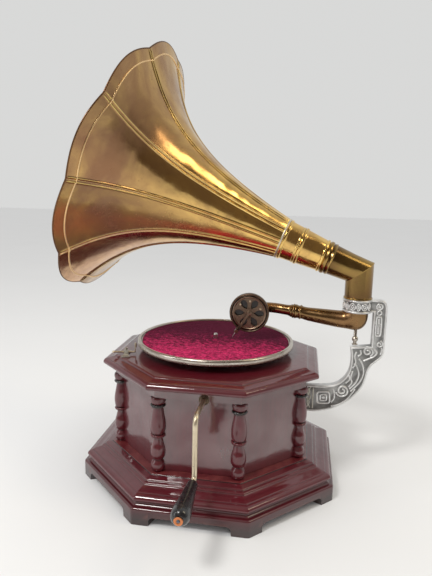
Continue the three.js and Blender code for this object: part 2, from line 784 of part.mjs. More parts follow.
function makeMotorFrame() {
  const upper = plateOutline();
  upper.holes.push(
    holeAt([0, 0], spindleRadius + runningGap),
    holeAt(secondAxis, secondArborRadius + runningGap),
    holeAt(barrelAxis, arborRadius + runningGap),
  );
  const window = new THREE.Path();
  const [windowHalf, windowFront] = [windingPinionRadius + 2, crankInnerEnd - 3];
  const windowBack = crankInnerEnd + windingPinionLength + 1;
  window.moveTo(crankX - windowHalf, windowFront);
  window.lineTo(crankX - windowHalf, windowBack);
  window.lineTo(crankX + windowHalf, windowBack);
  window.lineTo(crankX + windowHalf, windowFront);
  window.closePath();
  upper.holes.push(window);
  const hangerY = -friezeApothem + friezeThickness + panelThickness + 20;
  const hangerHalf = 8;
  const hanger = block(
    [crankX - hangerHalf, hangerY, crankZ - hangerHalf],
    [crankX + hangerHalf, hangerY + 6, upperPlateBottom + 1],
  );
  const shaftHole = along(bar(crankRodRadius + runningGap, -10, 10), [0, 1, 0], crankX, hangerY + 3, crankZ);
  const pillars = pillarSpots.flatMap(([x, y]) => {
    const pillar = bar(motorPillarRadius, lowerPlateTop + seatGap, upperPlateBottom + 1, 10);
    const spacer = bar(motorPillarRadius, upperPlateTop - 1, deckBottom - seatGap, 10);
    pillar.translate(x, y, 0);
    spacer.translate(x, y, 0);
    return [pillar, spacer];
  });
  const casting = join(plate(upper, upperPlateBottom, upperPlateTop, 6), hanger, ...pillars);
  addPart('motor_bedplate', cut(casting, shaftHole), steel);

  const lower = plateOutline();
  lower.holes.push(
    holeAt(secondAxis, secondArborRadius + runningGap),
    holeAt(barrelAxis, arborRadius + runningGap),
  );
  const postTop = governorZ + 6;
  const posts = [governorLeft - governorPost, governorRight].map((x) => cut(
    block([x, governorY - 6, lowerPlateBottom], [x + governorPost, governorY + 6, postTop]),
    along(bar(governorShaftRadius + runningGap, -5, 5), [1, 0, 0], x + governorPost / 2, governorY, governorZ),
  ));
  addPart('motor_lower_plate', join(plate(lower, lowerPlateBottom, lowerPlateTop, 6), ...posts), steel);
}

function makeBarrel() {
  const bore = arborRadius + runningGap;
  const inner = drumRadius - drumWall;
  const drum = turned([
    [bore, drumBottom], [drumRadius, drumBottom], [drumRadius, greatWheelBottom + 1],
    [bore, greatWheelBottom + 1], [bore, greatWheelBottom - drumWall], [inner, greatWheelBottom - drumWall],
    [inner, drumBottom + drumWall], [bore, drumBottom + drumWall],
  ], 24);
  const toSecond = Math.atan2(secondAxis[1] - barrelAxis[1], secondAxis[0] - barrelAxis[0]);
  const wheel = plate(gearShape(barrelTeeth, barrelRadius, toSecond, bore),
    greatWheelBottom, greatWheelBottom + gearThickness, 8);
  const barrel = join(drum, wheel);
  barrel.translate(barrelAxis[0], barrelAxis[1], 0);
  addPart('spring_barrel', barrel, gearBrass);

  // The mainspring is one ribbon wound from the arbor out to the drum wall.
  const stations = mainspringTurns * 11;
  const [bottom, top] = [drumBottom + drumWall + 1.5, greatWheelBottom - drumWall - 1.5];
  const first = arborRadius + runningGap + 0.2;
  const last = inner - seatGap - mainspringThickness;
  const sections = Array.from({ length: stations + 1 }, (_, k) => {
    const share = k / stations;
    const angle = share * mainspringTurns * 2 * Math.PI;
    const radius = first + (last - first) * share;
    const [near, far] = [radius, radius + mainspringThickness];
    const [c, s] = [Math.cos(angle), Math.sin(angle)];
    return [[near, bottom], [far, bottom], [far, top], [near, top]].map(
      ([r, z]) => vector(barrelAxis[0] + r * c, barrelAxis[1] + r * s, z),
    );
  });
  addPart('mainspring', skin(sections), steel);
}

function makeWindingArbor() {
  const top = upperPlateTop;
  const arbor = bar(arborRadius, lowerPlateBottom, top, 12);
  const wheelBottom = windingWheelTop - 7;
  const pitch = windingWheelRadius / (1 + 2 * toothAddendum / windingWheelTeeth);
  const wheel = plate(gearShape(windingWheelTeeth, pitch, 0, 0), wheelBottom, windingWheelTop);
  const hub = bar(9, wheelBottom - 2, windingWheelTop + 1, 12);
  const made = join(arbor, wheel, hub);
  made.translate(barrelAxis[0], barrelAxis[1], 0);
  addPart('winding_arbor', made, steel);
}

function makeSecondWheel() {
  const arbor = bar(secondArborRadius, lowerPlateBottom, upperPlateTop, 12);
  const toSpindle = Math.atan2(-secondAxis[1], -secondAxis[0]);
  const toBarrel = Math.atan2(barrelAxis[1] - secondAxis[1], barrelAxis[0] - secondAxis[0]);
  const wheelTurn = toSpindle + Math.PI / secondWheelTeeth;
  const pinionTurn = toBarrel + Math.PI / secondPinionTeeth;
  const wheel = plate(gearShape(secondWheelTeeth, secondWheelRadius, wheelTurn, 0),
    secondWheelBottom, secondWheelBottom + gearThickness);
  const pinion = plate(gearShape(secondPinionTeeth, secondPinionRadius, pinionTurn, 0),
    greatWheelBottom - 1, secondWheelBottom + 1);
  const made = join(arbor, wheel, pinion);
  made.translate(secondAxis[0], secondAxis[1], 0);
  addPart('second_wheel', made, gearBrass);
}

function makeGovernor() {
  // The worm is a three-start screw: a three-lobed section turned as it goes along.
  const starts = 3;
  const lead = 15;
  const wormLength = 16;
  const turns = 10;
  const wormRings = Array.from({ length: turns + 1 }, (_, k) => {
    const share = k / turns;
    const twist = share * wormLength / lead * 2 * Math.PI;
    return Array.from({ length: starts * 3 }, (__, j) => {
      const angle = (j * 2 * Math.PI) / (starts * 3) + twist;
      const radius = j % 3 === 0 ? wormRadius : wormRadius - 1.6;
      return vector(Math.cos(angle) * radius, Math.sin(angle) * radius, (share - 0.5) * wormLength);
    });
  });
  const worm = skin(wormRings);
  worm.translate(0, 0, -governorLeft);
  const shaftLength = governorLength + governorPost * 2;
  const shaft = bar(governorShaftRadius, -governorPost, shaftLength - governorPost, 10);
  const from = wormLength / 2 - governorLeft + 5;
  const to = governorLength - 8;
  const stop = bar(4, from - 4, from - seatGap, 10);
  const spindle = join(worm, shaft, stop);
  addPart('governor_spindle', along(spindle, [1, 0, 0], governorLeft, governorY, governorZ), steel);

  // Three weights on leaf springs, bowed between a fixed collar and a sliding one with its disc.
  const bore = governorShaftRadius + seatGap;
  const collar = turned([[bore, from], [5, from], [5, from + 4], [bore, from + 4]], 8);
  const slider = turned([
    [bore, to - 4], [5, to - 4], [5, to], [13, to], [13, to + 2.4], [bore, to + 2.4],
  ], 16);
  const weights = [0, 1, 2].flatMap((k) => {
    const leafRings = Array.from({ length: 7 }, (_, j) => {
      const share = j / 6;
      const lift = 4.6 + (governorBallOrbit - 5) * Math.sin(share * Math.PI) ** 2;
      const x = from + 1 + (to - from - 2) * share;
      return [[lift, -2], [lift + 0.8, -2], [lift + 0.8, 2], [lift, 2]].map(([r, w]) => vector(r, w, x));
    });
    const ball = new THREE.SphereGeometry(governorBallRadius, 8, 6);
    ball.translate(governorBallOrbit, 0, (from + to) / 2);
    const leaf = skin(leafRings);
    for (const piece of [leaf, ball]) {
      piece.rotateZ(k * 2 * Math.PI / 3);
    }
    return [leaf, ball];
  });
  const flyball = join(collar, slider, ...weights);
  addPart('governor_weights', along(flyball, [1, 0, 0], governorLeft, governorY, governorZ), gearBrass);
}

makeMotorFrame();
makeBarrel();
makeWindingArbor();
makeSecondWheel();
makeGovernor();

// ---------------------------------------------------------------------------
// Cast bracket
// ---------------------------------------------------------------------------

function makeBracket() {
  const seat = panelApothem + seatGap;
  const collarBottom = collarTop - collarHeight;
  const root = flangeMiddle - 23;
  const shoulder = flangeMiddle + 21;
  const post = bracketBack - bracketPost;
  const top = collarTop - 0.5;
  const side = new THREE.Shape();
  side.moveTo(seat, root);
  side.lineTo(seat + 20, root);
  side.bezierCurveTo(seat + 56, root + 2, post - 19.5, root + 24, post - 7.5, root + 50);
  side.bezierCurveTo(post - 2.5, root + 62, post - 3.5, bracketLedge - 38, post + 4.5, bracketLedge - 29);
  side.bezierCurveTo(post + 12.5, bracketLedge - 21, bracketBack, bracketLedge - 18, bracketBack, bracketLedge - 5);
  side.lineTo(bracketBack, top - 15.5);
  side.bezierCurveTo(bracketBack, top - 6.5, bracketBack - 2, top, bracketBack - 10.5, top);
  side.lineTo(pivotX + 12, top);
  side.lineTo(pivotX + 12, collarBottom + 1);
  side.lineTo(post, collarBottom);
  side.lineTo(post, bracketLedge + 2);
  side.lineTo(pivotX - 7, bracketLedge - 2);
  side.bezierCurveTo(pivotX - 4, bracketLedge - 14, pivotX - 4, bracketLedge - 24, pivotX - 5, bracketLedge - 33);
  side.bezierCurveTo(pivotX - 7, shoulder + 16, pivotX - 23, shoulder + 4, pivotX - 34, shoulder + 2.5);
  side.bezierCurveTo(pivotX - 45, shoulder, seat + 26, shoulder, seat, shoulder);
  side.closePath();
  const half = bracketThickness / 2;
  const bevel = 2;
  const web = new THREE.ExtrudeGeometry(side, {
    depth: bracketThickness - bevel * 2, bevelThickness: bevel, bevelSize: bevel, bevelOffset: -bevel,
    bevelSegments: 1, curveSegments: 5,
  });
  web.rotateX(Math.PI / 2);
  web.translate(0, half - bevel, 0);
  const collar = bar(collarRadius, collarBottom, collarTop, 28);
  const bore = bar(armHeadRadius + runningGap, collarBottom - 1, collarTop + 1, 28);
  collar.translate(pivotX, 0, 0);
  bore.translate(pivotX, 0, 0);
  const flange = block(
    [seat, -flangeWidth / 2, flangeMiddle - flangeHeight / 2],
    [seat + flangeThickness, flangeWidth / 2, flangeMiddle + flangeHeight / 2],
  );
  addPart('horn_bracket', cut(join(web, collar, flange), bore), castMetal);
}

// The slim screw under the tone arm: its point carries the arm's head, and a ball stiffens it.
function makePivotScrew() {
  const seat = bracketLedge + 1.4;
  const ball = bracketLedge + 10.5;
  const rod = pivotRodRadius;
  const profile = [
    [0, seat], [rod + 2, seat], [rod + 2, seat + 2.2], [rod, seat + 3.2], [rod, ball - pivotBallRadius * 0.9],
    [pivotBallRadius * 0.8, ball - pivotBallRadius * 0.6], [pivotBallRadius, ball],
    [pivotBallRadius * 0.8, ball + pivotBallRadius * 0.6], [rod, ball + pivotBallRadius * 0.9],
    [rod, armHeadBottom + armPivotDepth - 1.8], [1.3, armHeadBottom + armPivotDepth - seatGap],
    [0, armHeadBottom + armPivotDepth - seatGap],
  ];
  const screw = turned(profile, 12);
  screw.translate(pivotX, 0, 0);
  addPart('pivot_screw', screw, nickel);
}

makeBracket();
makePivotScrew();

// ---------------------------------------------------------------------------
// Tone arm and sound box
// ---------------------------------------------------------------------------

const armEnd = vector(...armJoint);
const armDirection = vector(-0.992, 0.081, 0.095).normalize();

function makeToneArm() {
  const headTop = collarTop - seatGap;
  const r = armHeadRadius;
  const dome = (radius, bottom, height, steps) => Array.from({ length: steps }, (_, k) => {
    const angle = ((k + 1) / steps) * Math.PI / 2;
    return [radius * Math.sin(angle), bottom + height * (1 - Math.cos(angle))];
  });
  const head = turned([
    [0, armHeadBottom], ...dome(r, armHeadBottom, armHeadDome, 6), [r, headTop], [0, headTop],
  ], 24);
  head.translate(pivotX, 0, 0);
  const path = [
    vector(pivotX + 3.5, -0.1, 265), vector(pivotX - 2, 0.2, 263.2), vector(206, 1.4, 262.5),
    vector(190, 2.8, 263.2), vector(167, 4.6, 265.2), vector(147, 6.3, 267),
    armEnd.clone().addScaledVector(armDirection, -11), armEnd.clone().addScaledVector(armDirection, -10),
    armEnd.clone().addScaledVector(armDirection, -seatGap / 2),
  ];
  const radii = [9, 13.2, 13.9, 13.3, 12, 10.7, 10.2, armJointRadius, armJointRadius];
  const outer = join(head, sweep(path, radii, 14));

  const floor = armHeadBottom + 5.5;
  const boreRadius = r - armWall;
  const boreHead = turned([
    [0, floor], [4, floor], [10.6, floor + 4], [14, floor + 10.5], [boreRadius, armHeadBottom + armHeadDome],
    [boreRadius, headTop + 1], [0, headTop + 1],
  ], 20);
  boreHead.translate(pivotX, 0, 0);
  const borePath = [vector(215, 0.7, 263), ...path.slice(2, 8), armEnd.clone().addScaledVector(armDirection, 2)];
  const boreRadii = [11.8, ...radii.slice(2, 6).map((radius) => radius - armWall),
    ...Array(3).fill(neckRadius + runningGap)];
  const pivotHole = bar(pivotRodRadius + runningGap, armHeadBottom - 1, armHeadBottom + armPivotDepth, 12);
  pivotHole.translate(pivotX, 0, 0);
  addPart('tone_arm', cut(outer, boreHead, sweep(borePath, boreRadii, 12), pivotHole), armBrass);
}

function makeNeck() {
  const back = vector(soundboxCentre[0], soundboxCentre[1] + soundboxThickness / 2 + seatGap, soundboxCentre[2]);
  const at = (distance) => armEnd.clone().addScaledVector(armDirection, distance);
  const bendOut = new THREE.CubicBezierCurve3(
    at(20), at(40).add(vector(0, 3, 0)), back.clone().add(vector(0, 30, 3)), back.clone().add(vector(0, 6, 0)),
  );
  const path = [at(-9), at(seatGap / 2 - 0.01), at(seatGap / 2), at(7.6), at(9), ...bendOut.getPoints(7), back];
  const radii = path.map((_, k) => {
    if (k < 2) {
      return neckRadius - 0.2;
    }
    return k < 4 ? armJointRadius : neckRadius;
  });
  const outer = sweepRings(path, radii, 10);
  const inner = sweepRings(path, path.map(() => neckRadius - neckWall), 10);
  addPart('arm_neck', skin([...outer, ...inner.reverse()], true), armBrass);
}

// The sound box is made lying flat, front up, then stood on edge facing -Y.
function standSoundbox(geometry) {
  geometry.rotateX(Math.PI / 2);
  geometry.translate(...soundboxCentre);
  return geometry;
}

function makeSoundbox() {
  const half = soundboxThickness / 2;
  const r = soundboxRadius;
  const seat = r - 3.5;
  const ledge = 0;
  const passage = neckRadius - neckWall;
  addPart('soundbox_case', standSoundbox(turned([
    [passage, -half], [r - 6, -half], [r - 1.5, -half + 2], [r, -half + 5], [r, half - 2.5], [r - 1, half - 1],
    [seat, half - 1], [seat, ledge], [seat - 4, ledge], [seat - 6, -half + 3], [passage, -half + 3],
  ], 24)), bronze);
  addPart('diaphragm', standSoundbox(turned([
    [0, ledge + seatGap], [seat - seatGap, ledge + seatGap], [seat - seatGap, ledge + seatGap + 0.6],
    [0, ledge + seatGap + 0.6],
  ], 28)), mica);

  // The front plate has teardrop windows round its hub.
  const faceBottom = ledge + seatGap * 2 + 0.6;
  const face = new THREE.Shape();
  face.absarc(0, 0, seat - seatGap, 0, Math.PI * 2, false);
  face.holes.push(holeAt([0, 0], 1.8));
  const windows = 6;
  for (let k = 0; k < windows; k += 1) {
    const angle = (k * 2 * Math.PI) / windows;
    const [c, s] = [Math.cos(angle), Math.sin(angle)];
    const spot = (u, v) => [u * c - v * s, u * s + v * c];
    const drop = new THREE.Path();
    drop.moveTo(...spot(8, 0));
    drop.quadraticCurveTo(...spot(12, -5.2), ...spot(18, -5));
    drop.quadraticCurveTo(...spot(23.4, -4), ...spot(23.4, 0));
    drop.quadraticCurveTo(...spot(23.4, 4), ...spot(18, 5));
    drop.quadraticCurveTo(...spot(12, 5.2), ...spot(8, 0));
    face.holes.push(drop);
  }
  addPart('soundbox_face', standSoundbox(plate(face, faceBottom, half - 1.8, 3)), bronze);

  // The stylus bar runs from the diaphragm's middle down to the needle socket.
  const barBottom = half - 1 + seatGap;
  const outline = new THREE.Shape();
  outline.moveTo(-1.6, 2);
  outline.lineTo(1.6, 2);
  outline.lineTo(2.4, -r - 2);
  outline.lineTo(-2.4, -r - 2);
  outline.closePath();
  const lever = plate(outline, barBottom, barBottom + 2.6);
  const link = bar(1, faceBottom, barBottom + 1, 8);
  const socketZ = half - 3.4;
  const socket = along(bar(3.2, r + seatGap, r + 8, 12), [0, -1, 0], 0, 0, socketZ);
  const neck = block([-2.4, -r - 5, socketZ], [2.4, -r - 1, barBottom + 1]);
  const screwHead = bar(3, barBottom + 1, barBottom + 5.5, 12);
  screwHead.translate(0, -r - 3.4, 0);
  const needleHole = along(bar(0.8 + seatGap, r + 3, r + 9, 8), [0, -1, 0], 0, 0, socketZ);
  const stylusBar = cut(join(lever, link, socket, neck, screwHead), needleHole);
  const needleProfile = [[0, r + 3.4], [0.8, r + 3.4], [0.8, needleReach - 6], [0.25, needleReach], [0, needleReach]];
  const needle = along(turned(needleProfile, 8), [0, -1, 0], 0, 0, socketZ);
  for (const piece of [stylusBar, needle]) {
    piece.rotateZ(-needleTurn);
    standSoundbox(piece);
  }
  addPart('stylus_bar', stylusBar, nickel);
  addPart('needle', needle, steel);
}

makeToneArm();
makeNeck();
makeSoundbox();

// ---------------------------------------------------------------------------
// Horn
// ---------------------------------------------------------------------------

const up = vector(0, 0, 1);

function onHornAxis(length) {
  return hornOrigin.clone().addScaledVector(hornAxis, length);
}

// The elbow is a mitred bend: a ring of the upright tube is carried up to the plane that halves
// the bend, and from there the rings follow the horn's axis.
function mitreRing(radius, sides) {
  const normal = up.clone().add(hornAxis).normalize();
  return ring(vector(pivotX, 0, 0), up, radius, sides).map((point) => {
    const rise = hornOrigin.clone().sub(point).dot(normal) / normal.z;
    return point.setZ(rise);
  });
}

function makeElbow() {
  const sides = 20;
  const bottom = collarTop + seatGap;
  const spigotBottom = collarTop - 14;
  const spigot = armHeadRadius - armWall - runningGap;
  const upright = (z, radius) => ring(vector(pivotX, 0, z), up, radius, sides);
  const slanted = (length, radius) => ring(onHornAxis(length), hornAxis, radius, sides);
  const wall = elbowWall;
  const middle = (elbowRadius + throatStartRadius) / 2;
  addPart('horn_elbow', skin([
    upright(bottom, elbowRadius), mitreRing(elbowRadius, sides), slanted(26, middle),
    slanted(elbowLength, throatStartRadius), slanted(elbowLength, throatStartRadius - wall),
    slanted(26, middle - wall), mitreRing(elbowRadius - wall, sides), upright(bottom + 3, elbowRadius - wall),
    upright(bottom + 2, spigot - wall), upright(spigotBottom, spigot - wall), upright(spigotBottom, spigot),
    upright(bottom, spigot),
  ], true), hornBrass);
}

function makeThroat() {
  const start = elbowLength + seatGap;
  const end = throatLength;
  const wall = elbowWall;
  const slope = (bellStartRadius - throatStartRadius) / (end - start);
  const radiusAt = (length) => throatStartRadius + slope * (length - start);
  const bead = 1.3;
  const outer = [start + 3, 98, end - 3].flatMap((spot) => [
    [radiusAt(spot - 3), spot - 3], [radiusAt(spot) + bead, spot - 1.6],
    [radiusAt(spot) + bead, spot + 1.6], [radiusAt(spot + 3), spot + 3],
  ]);
  const profile = [...outer, [bellStartRadius - wall, end], [throatStartRadius - wall, start]];
  addPart('horn_throat', aim(turned(profile, 20), hornAxis, hornOrigin), hornBrass);
}

// Radius of the bell at a place along the axis: slow exponential growth, plus a power term that
// rolls the lip outwards near the mouth.
function bellRadius(length) {
  const run = length - throatLength;
  const share = run / (bellLength - throatLength);
  return bellStartRadius * Math.exp(bellGrowth * run) + bellLipGrowth * Math.max(share, 0) ** bellLipPower;
}

function bellSlope(length) {
  const step = 0.01;
  return (bellRadius(length + step) - bellRadius(length - step)) / (2 * step);
}

// Ten sheet petals run from the throat to the mouth, each ending in a rounded lobe.
function makePetals() {
  const rows = 8;
  const columns = 5;
  const start = throatLength + seatGap;
  const hornSide = hornAxis.clone().cross(up).normalize();
  const hornTop = hornSide.clone().cross(hornAxis);
  const pitch = 2 * Math.PI / petalCount;
  for (let petal = 0; petal < petalCount; petal += 1) {
    const sheet = (row, column, inner) => {
      const across = (column / columns) * 2 - 1;
      const lobe = petalLobe * (0.5 + 0.5 * Math.cos(Math.PI * across)) ** 0.8;
      const share = 1 - (1 - row / rows) ** 1.6;
      const length = start + (bellLength + lobe - start) * share;
      const slope = bellSlope(length);
      const norm = Math.hypot(1, slope);
      const depth = inner ? sheetThickness : 0;
      const radius = bellRadius(length) - depth / norm;
      const half = pitch / 2 - seatGap / 2 / radius;
      const angle = petalPhase + (petal + 0.5) * pitch + across * half;
      return onHornAxis(length + depth * slope / norm)
        .addScaledVector(hornSide, Math.cos(angle) * radius)
        .addScaledVector(hornTop, Math.sin(angle) * radius);
    };
    const rings = Array.from({ length: rows + 1 }, (_, row) => {
      const outside = Array.from({ length: columns + 1 }, (__, column) => sheet(row, column, false));
      const inside = Array.from({ length: columns + 1 }, (__, column) => sheet(row, columns - column, true));
      return [...outside, ...inside];
    });
    addPart(`horn_petal_${petal + 1}`, petalSkin(rings), hornBrass);
  }
}

// Skins a petal's sections. Its end caps are strips between the two faces of the sheet.
function petalSkin(rings) {
  const count = rings[0].length;
  const index = [];
  for (let row = 0; row < rings.length - 1; row += 1) {
    for (let k = 0; k < count; k += 1) {
      const side = (k + 1) % count;
      const [p, q] = [row * count + k, row * count + side];
      index.push(p, q, q + count, p, q + count, p + count);
    }
  }
  for (const [row, flip] of [[0, true], [rings.length - 1, false]]) {
    for (let k = 0; k < count / 2 - 1; k += 1) {
      const [p, q] = [row * count + k, row * count + k + 1];
      const [r, s] = [row * count + count - 1 - k, row * count + count - 2 - k];
      const faces = [[p, q, s], [p, s, r]];
      faces.forEach((face) => index.push(...(flip ? face.reverse() : face)));
    }
  }
  const geometry = new THREE.BufferGeometry().setFromPoints(rings.flat());
  geometry.setIndex(index);
  return outward(geometry);
}

makeElbow();
makeThroat();
makePetals();

// ---------------------------------------------------------------------------
// Origin: the middle of the footprint, to the whole millimetre, on the floor
// ---------------------------------------------------------------------------

const middle = new THREE.Box3().setFromObject(parts).getCenter(new THREE.Vector3());
parts.position.set(-Math.round(middle.x), -Math.round(middle.y), 0);

const gramophone = new THREE.Group();
gramophone.add(parts);

export default gramophone;
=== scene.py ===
"""Looks of a table gramophone: lacquered octagonal cabinet, velvet turntable, cast bracket, brass horn.

Every shape is worked out in the row frame, in metres. Places that follow the cabinet are given in
cabinet millimetres, measured from the cabinet's own axis on the floor, and moved there by to_row().
"""

import bmesh
import bpy
import numpy as np
from mathutils import Matrix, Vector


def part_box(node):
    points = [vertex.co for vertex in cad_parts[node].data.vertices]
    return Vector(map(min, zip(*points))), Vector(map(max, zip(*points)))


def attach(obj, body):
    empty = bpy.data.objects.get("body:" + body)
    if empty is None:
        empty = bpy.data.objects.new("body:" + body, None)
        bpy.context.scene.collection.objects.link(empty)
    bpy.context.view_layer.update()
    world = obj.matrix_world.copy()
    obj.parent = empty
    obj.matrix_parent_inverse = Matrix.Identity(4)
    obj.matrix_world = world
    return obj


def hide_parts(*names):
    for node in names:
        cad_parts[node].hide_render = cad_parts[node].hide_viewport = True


bl_info = {
    "name": "Table Gramophone",
    "version": (1, 0, 0),
    "blender": (4, 5, 0),
    "location": "View3D > Sidebar > Gramophone",
    "description": "Builds the finished pieces of a table gramophone round its CAD frame",
    "category": "Object",
}

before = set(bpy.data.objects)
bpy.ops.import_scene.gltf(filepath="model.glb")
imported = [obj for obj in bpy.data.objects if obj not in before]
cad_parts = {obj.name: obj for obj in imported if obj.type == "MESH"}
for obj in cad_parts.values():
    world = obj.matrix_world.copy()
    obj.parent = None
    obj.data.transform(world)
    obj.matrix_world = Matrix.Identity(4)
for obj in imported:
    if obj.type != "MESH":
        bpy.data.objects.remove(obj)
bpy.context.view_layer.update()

MM = 0.001
EIGHTH = np.pi / 4
HALF_EIGHTH = np.pi / 8
UP = np.array([0.0, 0.0, 1.0])


def node_box(node):
    """Lowest and highest corner of a CAD node, as arrays."""
    return [np.array(corner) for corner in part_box(node)]


def node_middle(node):
    return sum(node_box(node)) / 2


CABINET_AXIS = node_middle("plinth") * [1, 1, 0]
PLATTER_LOW, PLATTER_HIGH = node_box("platter")


def to_row(points):
    """Cabinet millimetres to metres in the row frame."""
    return np.asarray(points, float) * MM + CABINET_AXIS


def unit(vector):
    """A vector, or rows of vectors, brought to length one."""
    vector = np.asarray(vector, float)
    return vector / np.linalg.norm(vector, axis=-1, keepdims=True)


# ---------------------------------------------------------------------------
# Settings
# ---------------------------------------------------------------------------


def length(name, description, default, low=0.0, high=1.0):
    return bpy.props.FloatProperty(
        name=name, description=description, default=default, min=low, max=high,
        precision=4, unit="LENGTH",
    )


def share(name, description, default):
    return bpy.props.FloatProperty(
        name=name, description=description, default=default, min=0.0, max=1.0, subtype="FACTOR"
    )


def colour(name, description, default):
    return bpy.props.FloatVectorProperty(
        name=name, description=description, default=default, size=3, min=0.0, max=1.0, subtype="COLOR"
    )


class CabinetSettings(bpy.types.PropertyGroup):
    """Sizes and lacquer of the wooden pieces."""

    edge_rounding: length("Edge rounding", "Radius of the softened wood edges", 0.0007)
    foot_rounding: length("Foot rounding", "Radius at the upright corners of the feet", 0.007)
    moulding_rounding: length("Moulding rounding", "Radius at the corners of plinth and deck", 0.004)
    lacquer: colour("Lacquer", "Red of the stained and lacquered wood", (0.084, 0.0024, 0.0080))
    grain: colour("Grain", "Dark streaks under the lacquer", (0.022, 0.0020, 0.0040))
    glow: colour("Glow", "Redder clouds in the stain", (0.115, 0.0085, 0.0140))
    wear: colour("Wear", "Paler red where edges are rubbed thin", (0.340, 0.085, 0.070))
    figure: share("Figure", "How strongly the streaks of the grain show", 0.30)
    gloss: share("Gloss", "How shiny the lacquer is", 0.95)


class TurntableSettings(bpy.types.PropertyGroup):
    """Sizes and colours of the platter and its cover."""

    felt_radius: length("Velvet radius", "Radius of the velvet disc", 0.1202)
    felt_thickness: length("Velvet thickness", "Cloth with its pile", 0.0014)
    bright_pile: colour("Bright pile", "Velvet where the pile leans to the light", (0.640, 0.022, 0.125))
    # The dark pile also paints the shadow of the horn over the back of the velvet.
    dark_pile: colour("Dark pile", "Velvet where the pile leans away", (0.036, 0.001, 0.007))
    plating: colour("Plating", "Nickel of the rim and the crank", (0.640, 0.590, 0.520))


class HornSettings(bpy.types.PropertyGroup):
    """Sizes and colours of the horn and the tone arm."""

    sheet: length("Sheet", "Thickness of the brass sheet", 0.0008)
    seam_width: length("Seam width", "Distance between the two lines of a petal seam", 0.0056)
    seam_line: length("Seam line", "Breadth of one line of a petal seam", 0.0024)
    seam_height: length("Seam height", "How far a seam line stands up", 0.0014)
    ring_radius: length("Ring radius", "Radius of the half-sunk wire inside the lip", 0.0013)
    lip_roll: length("Lip roll", "Radius of the wire edge round each lobe", 0.0011)
    petal_puff: length("Petal puff", "How far a petal bows out between its seams", 0.0010)
    brass: colour("Brass", "Bare brass of the horn", (0.930, 0.610, 0.195))
    patina: colour("Patina", "Brown tarnish on the brass", (0.340, 0.175, 0.085))
    # Painted in part: this brown stands partly for tarnish and partly for the dark reflection of the cabinet and room.
    lip_tarnish_and_reflection: colour("Lip tarnish", "Brown that gathers towards the mouth", (0.300, 0.170, 0.105))
    wire: colour("Wire", "Satin brass of the ring inside the lip", (0.860, 0.560, 0.290))
    arm_brass: colour("Arm brass", "Darker brass of the tone arm", (0.230, 0.145, 0.062))


class CastingSettings(bpy.types.PropertyGroup):
    """Relief and colours of the cast bracket and the sound box."""

    relief: length("Relief", "How far the cast ornament stands up", 0.0017)
    field_depth: length("Field depth", "How deep the field behind the ornament lies", 0.0016)
    silver: colour("Silver", "Polished high spots of the casting", (0.930, 0.930, 0.920))
    recess: colour("Recess", "Grey wash left in the hollows", (0.330, 0.330, 0.322))
    bronze: colour("Bronze", "Brown metal of the sound box", (0.170, 0.120, 0.085))


class StageSettings(bpy.types.PropertyGroup):
    """Camera, floor and light."""

    lens: bpy.props.FloatProperty(
        name="Lens", description="Focal length on a 36 mm high sensor", default=33.65, unit="CAMERA"
    )
    camera_place: bpy.props.FloatVectorProperty(
        name="Camera place", description="Where the photograph was taken from, off the cabinet's axis on the floor",
        default=(0.1339, -0.8477, 0.4620), subtype="TRANSLATION", unit="LENGTH",
    )
    floor: colour("Floor", "Pale studio floor", (0.765, 0.765, 0.760))
    backdrop: colour("Backdrop", "Pale background seen past the object", (0.690, 0.692, 0.685))
    room: colour("Room", "Dim room behind the camera, seen only in reflections", (0.130, 0.100, 0.080))
    overhead: share("Overhead", "Brightness of the soft light from straight above", 0.98)
    sideways: share("Sideways", "Brightness of the soft light from the sides", 0.50)
    key_power: bpy.props.FloatProperty(
        name="Key power", description="Power of the soft lamp over the front", default=18.0, unit="POWER"
    )
    fill_power: bpy.props.FloatProperty(
        name="Fill power", description="Power of the soft lamp on the left", default=5.0, unit="POWER"
    )
    rim_power: bpy.props.FloatProperty(
        name="Rim power", description="Power of the warm lamp high on the right", default=6.0, unit="POWER"
    )


def settings(name):
    return getattr(bpy.context.scene, "gramophone_" + name)


# ---------------------------------------------------------------------------
# Shapes as arrays
# ---------------------------------------------------------------------------


def spline(points, count):
    """Smooth line through the points: between two of them a cubic whose end slopes are half the
    chord of their neighbours (Catmull-Rom), sampled evenly in point number."""
    points = np.asarray(points, float)
    padded = np.vstack([2 * points[0] - points[1], points, 2 * points[-1] - points[-2]])
    at = np.linspace(0, len(points) - 1, count)
    first = np.minimum(at.astype(int), len(points) - 2)
    t = (at - first)[:, None]
    a, b, c, d = (padded[first + k] for k in range(4))
    return 0.5 * (2 * b + (c - a) * t + (2 * a - 5 * b + 4 * c - d) * t**2 + (3 * b - a - 3 * c + d) * t**3)


def bezier(start, first, second, end, count=16):
    """Cubic curve: the four points weighted by the terms of ((1 - t) + t) cubed."""
    t = np.linspace(0, 1, count)[:, None]
    points = [np.asarray(p, float) for p in (start, first, second, end)]
    weights = [(1 - t) ** 3, 3 * (1 - t) ** 2 * t, 3 * (1 - t) * t**2, t**3]
    return sum(w * p for w, p in zip(weights, points))


def arc(middle, radius, start, end, count):
    """Points on a circle in the plane, from one angle in degrees to another."""
    angle = np.radians(np.linspace(start, end, count))
    return np.stack([middle[0] + radius * np.cos(angle), middle[1] + radius * np.sin(angle)], 1)


def chain(*runs):
    """Several runs of points as one, without doubled points."""
    points = np.vstack([np.atleast_2d(np.asarray(run, float)) for run in runs])
    keep = np.r_[True, np.linalg.norm(np.diff(points, axis=0), axis=1) > 1e-6]
    return points[keep]


def distance_along(points):
    """Running length of a line of points, starting at nought."""
    return np.r_[0, np.cumsum(np.linalg.norm(np.diff(points, axis=0), axis=1))]


def sides_of(path, reference):
    """Two directions square to a path at each of its points: the first is the path's direction
    crossed with the reference, the second is square to both."""
    along = unit(np.gradient(path, axis=0))
    side = unit(np.cross(along, reference))
    return side, np.cross(side, along)


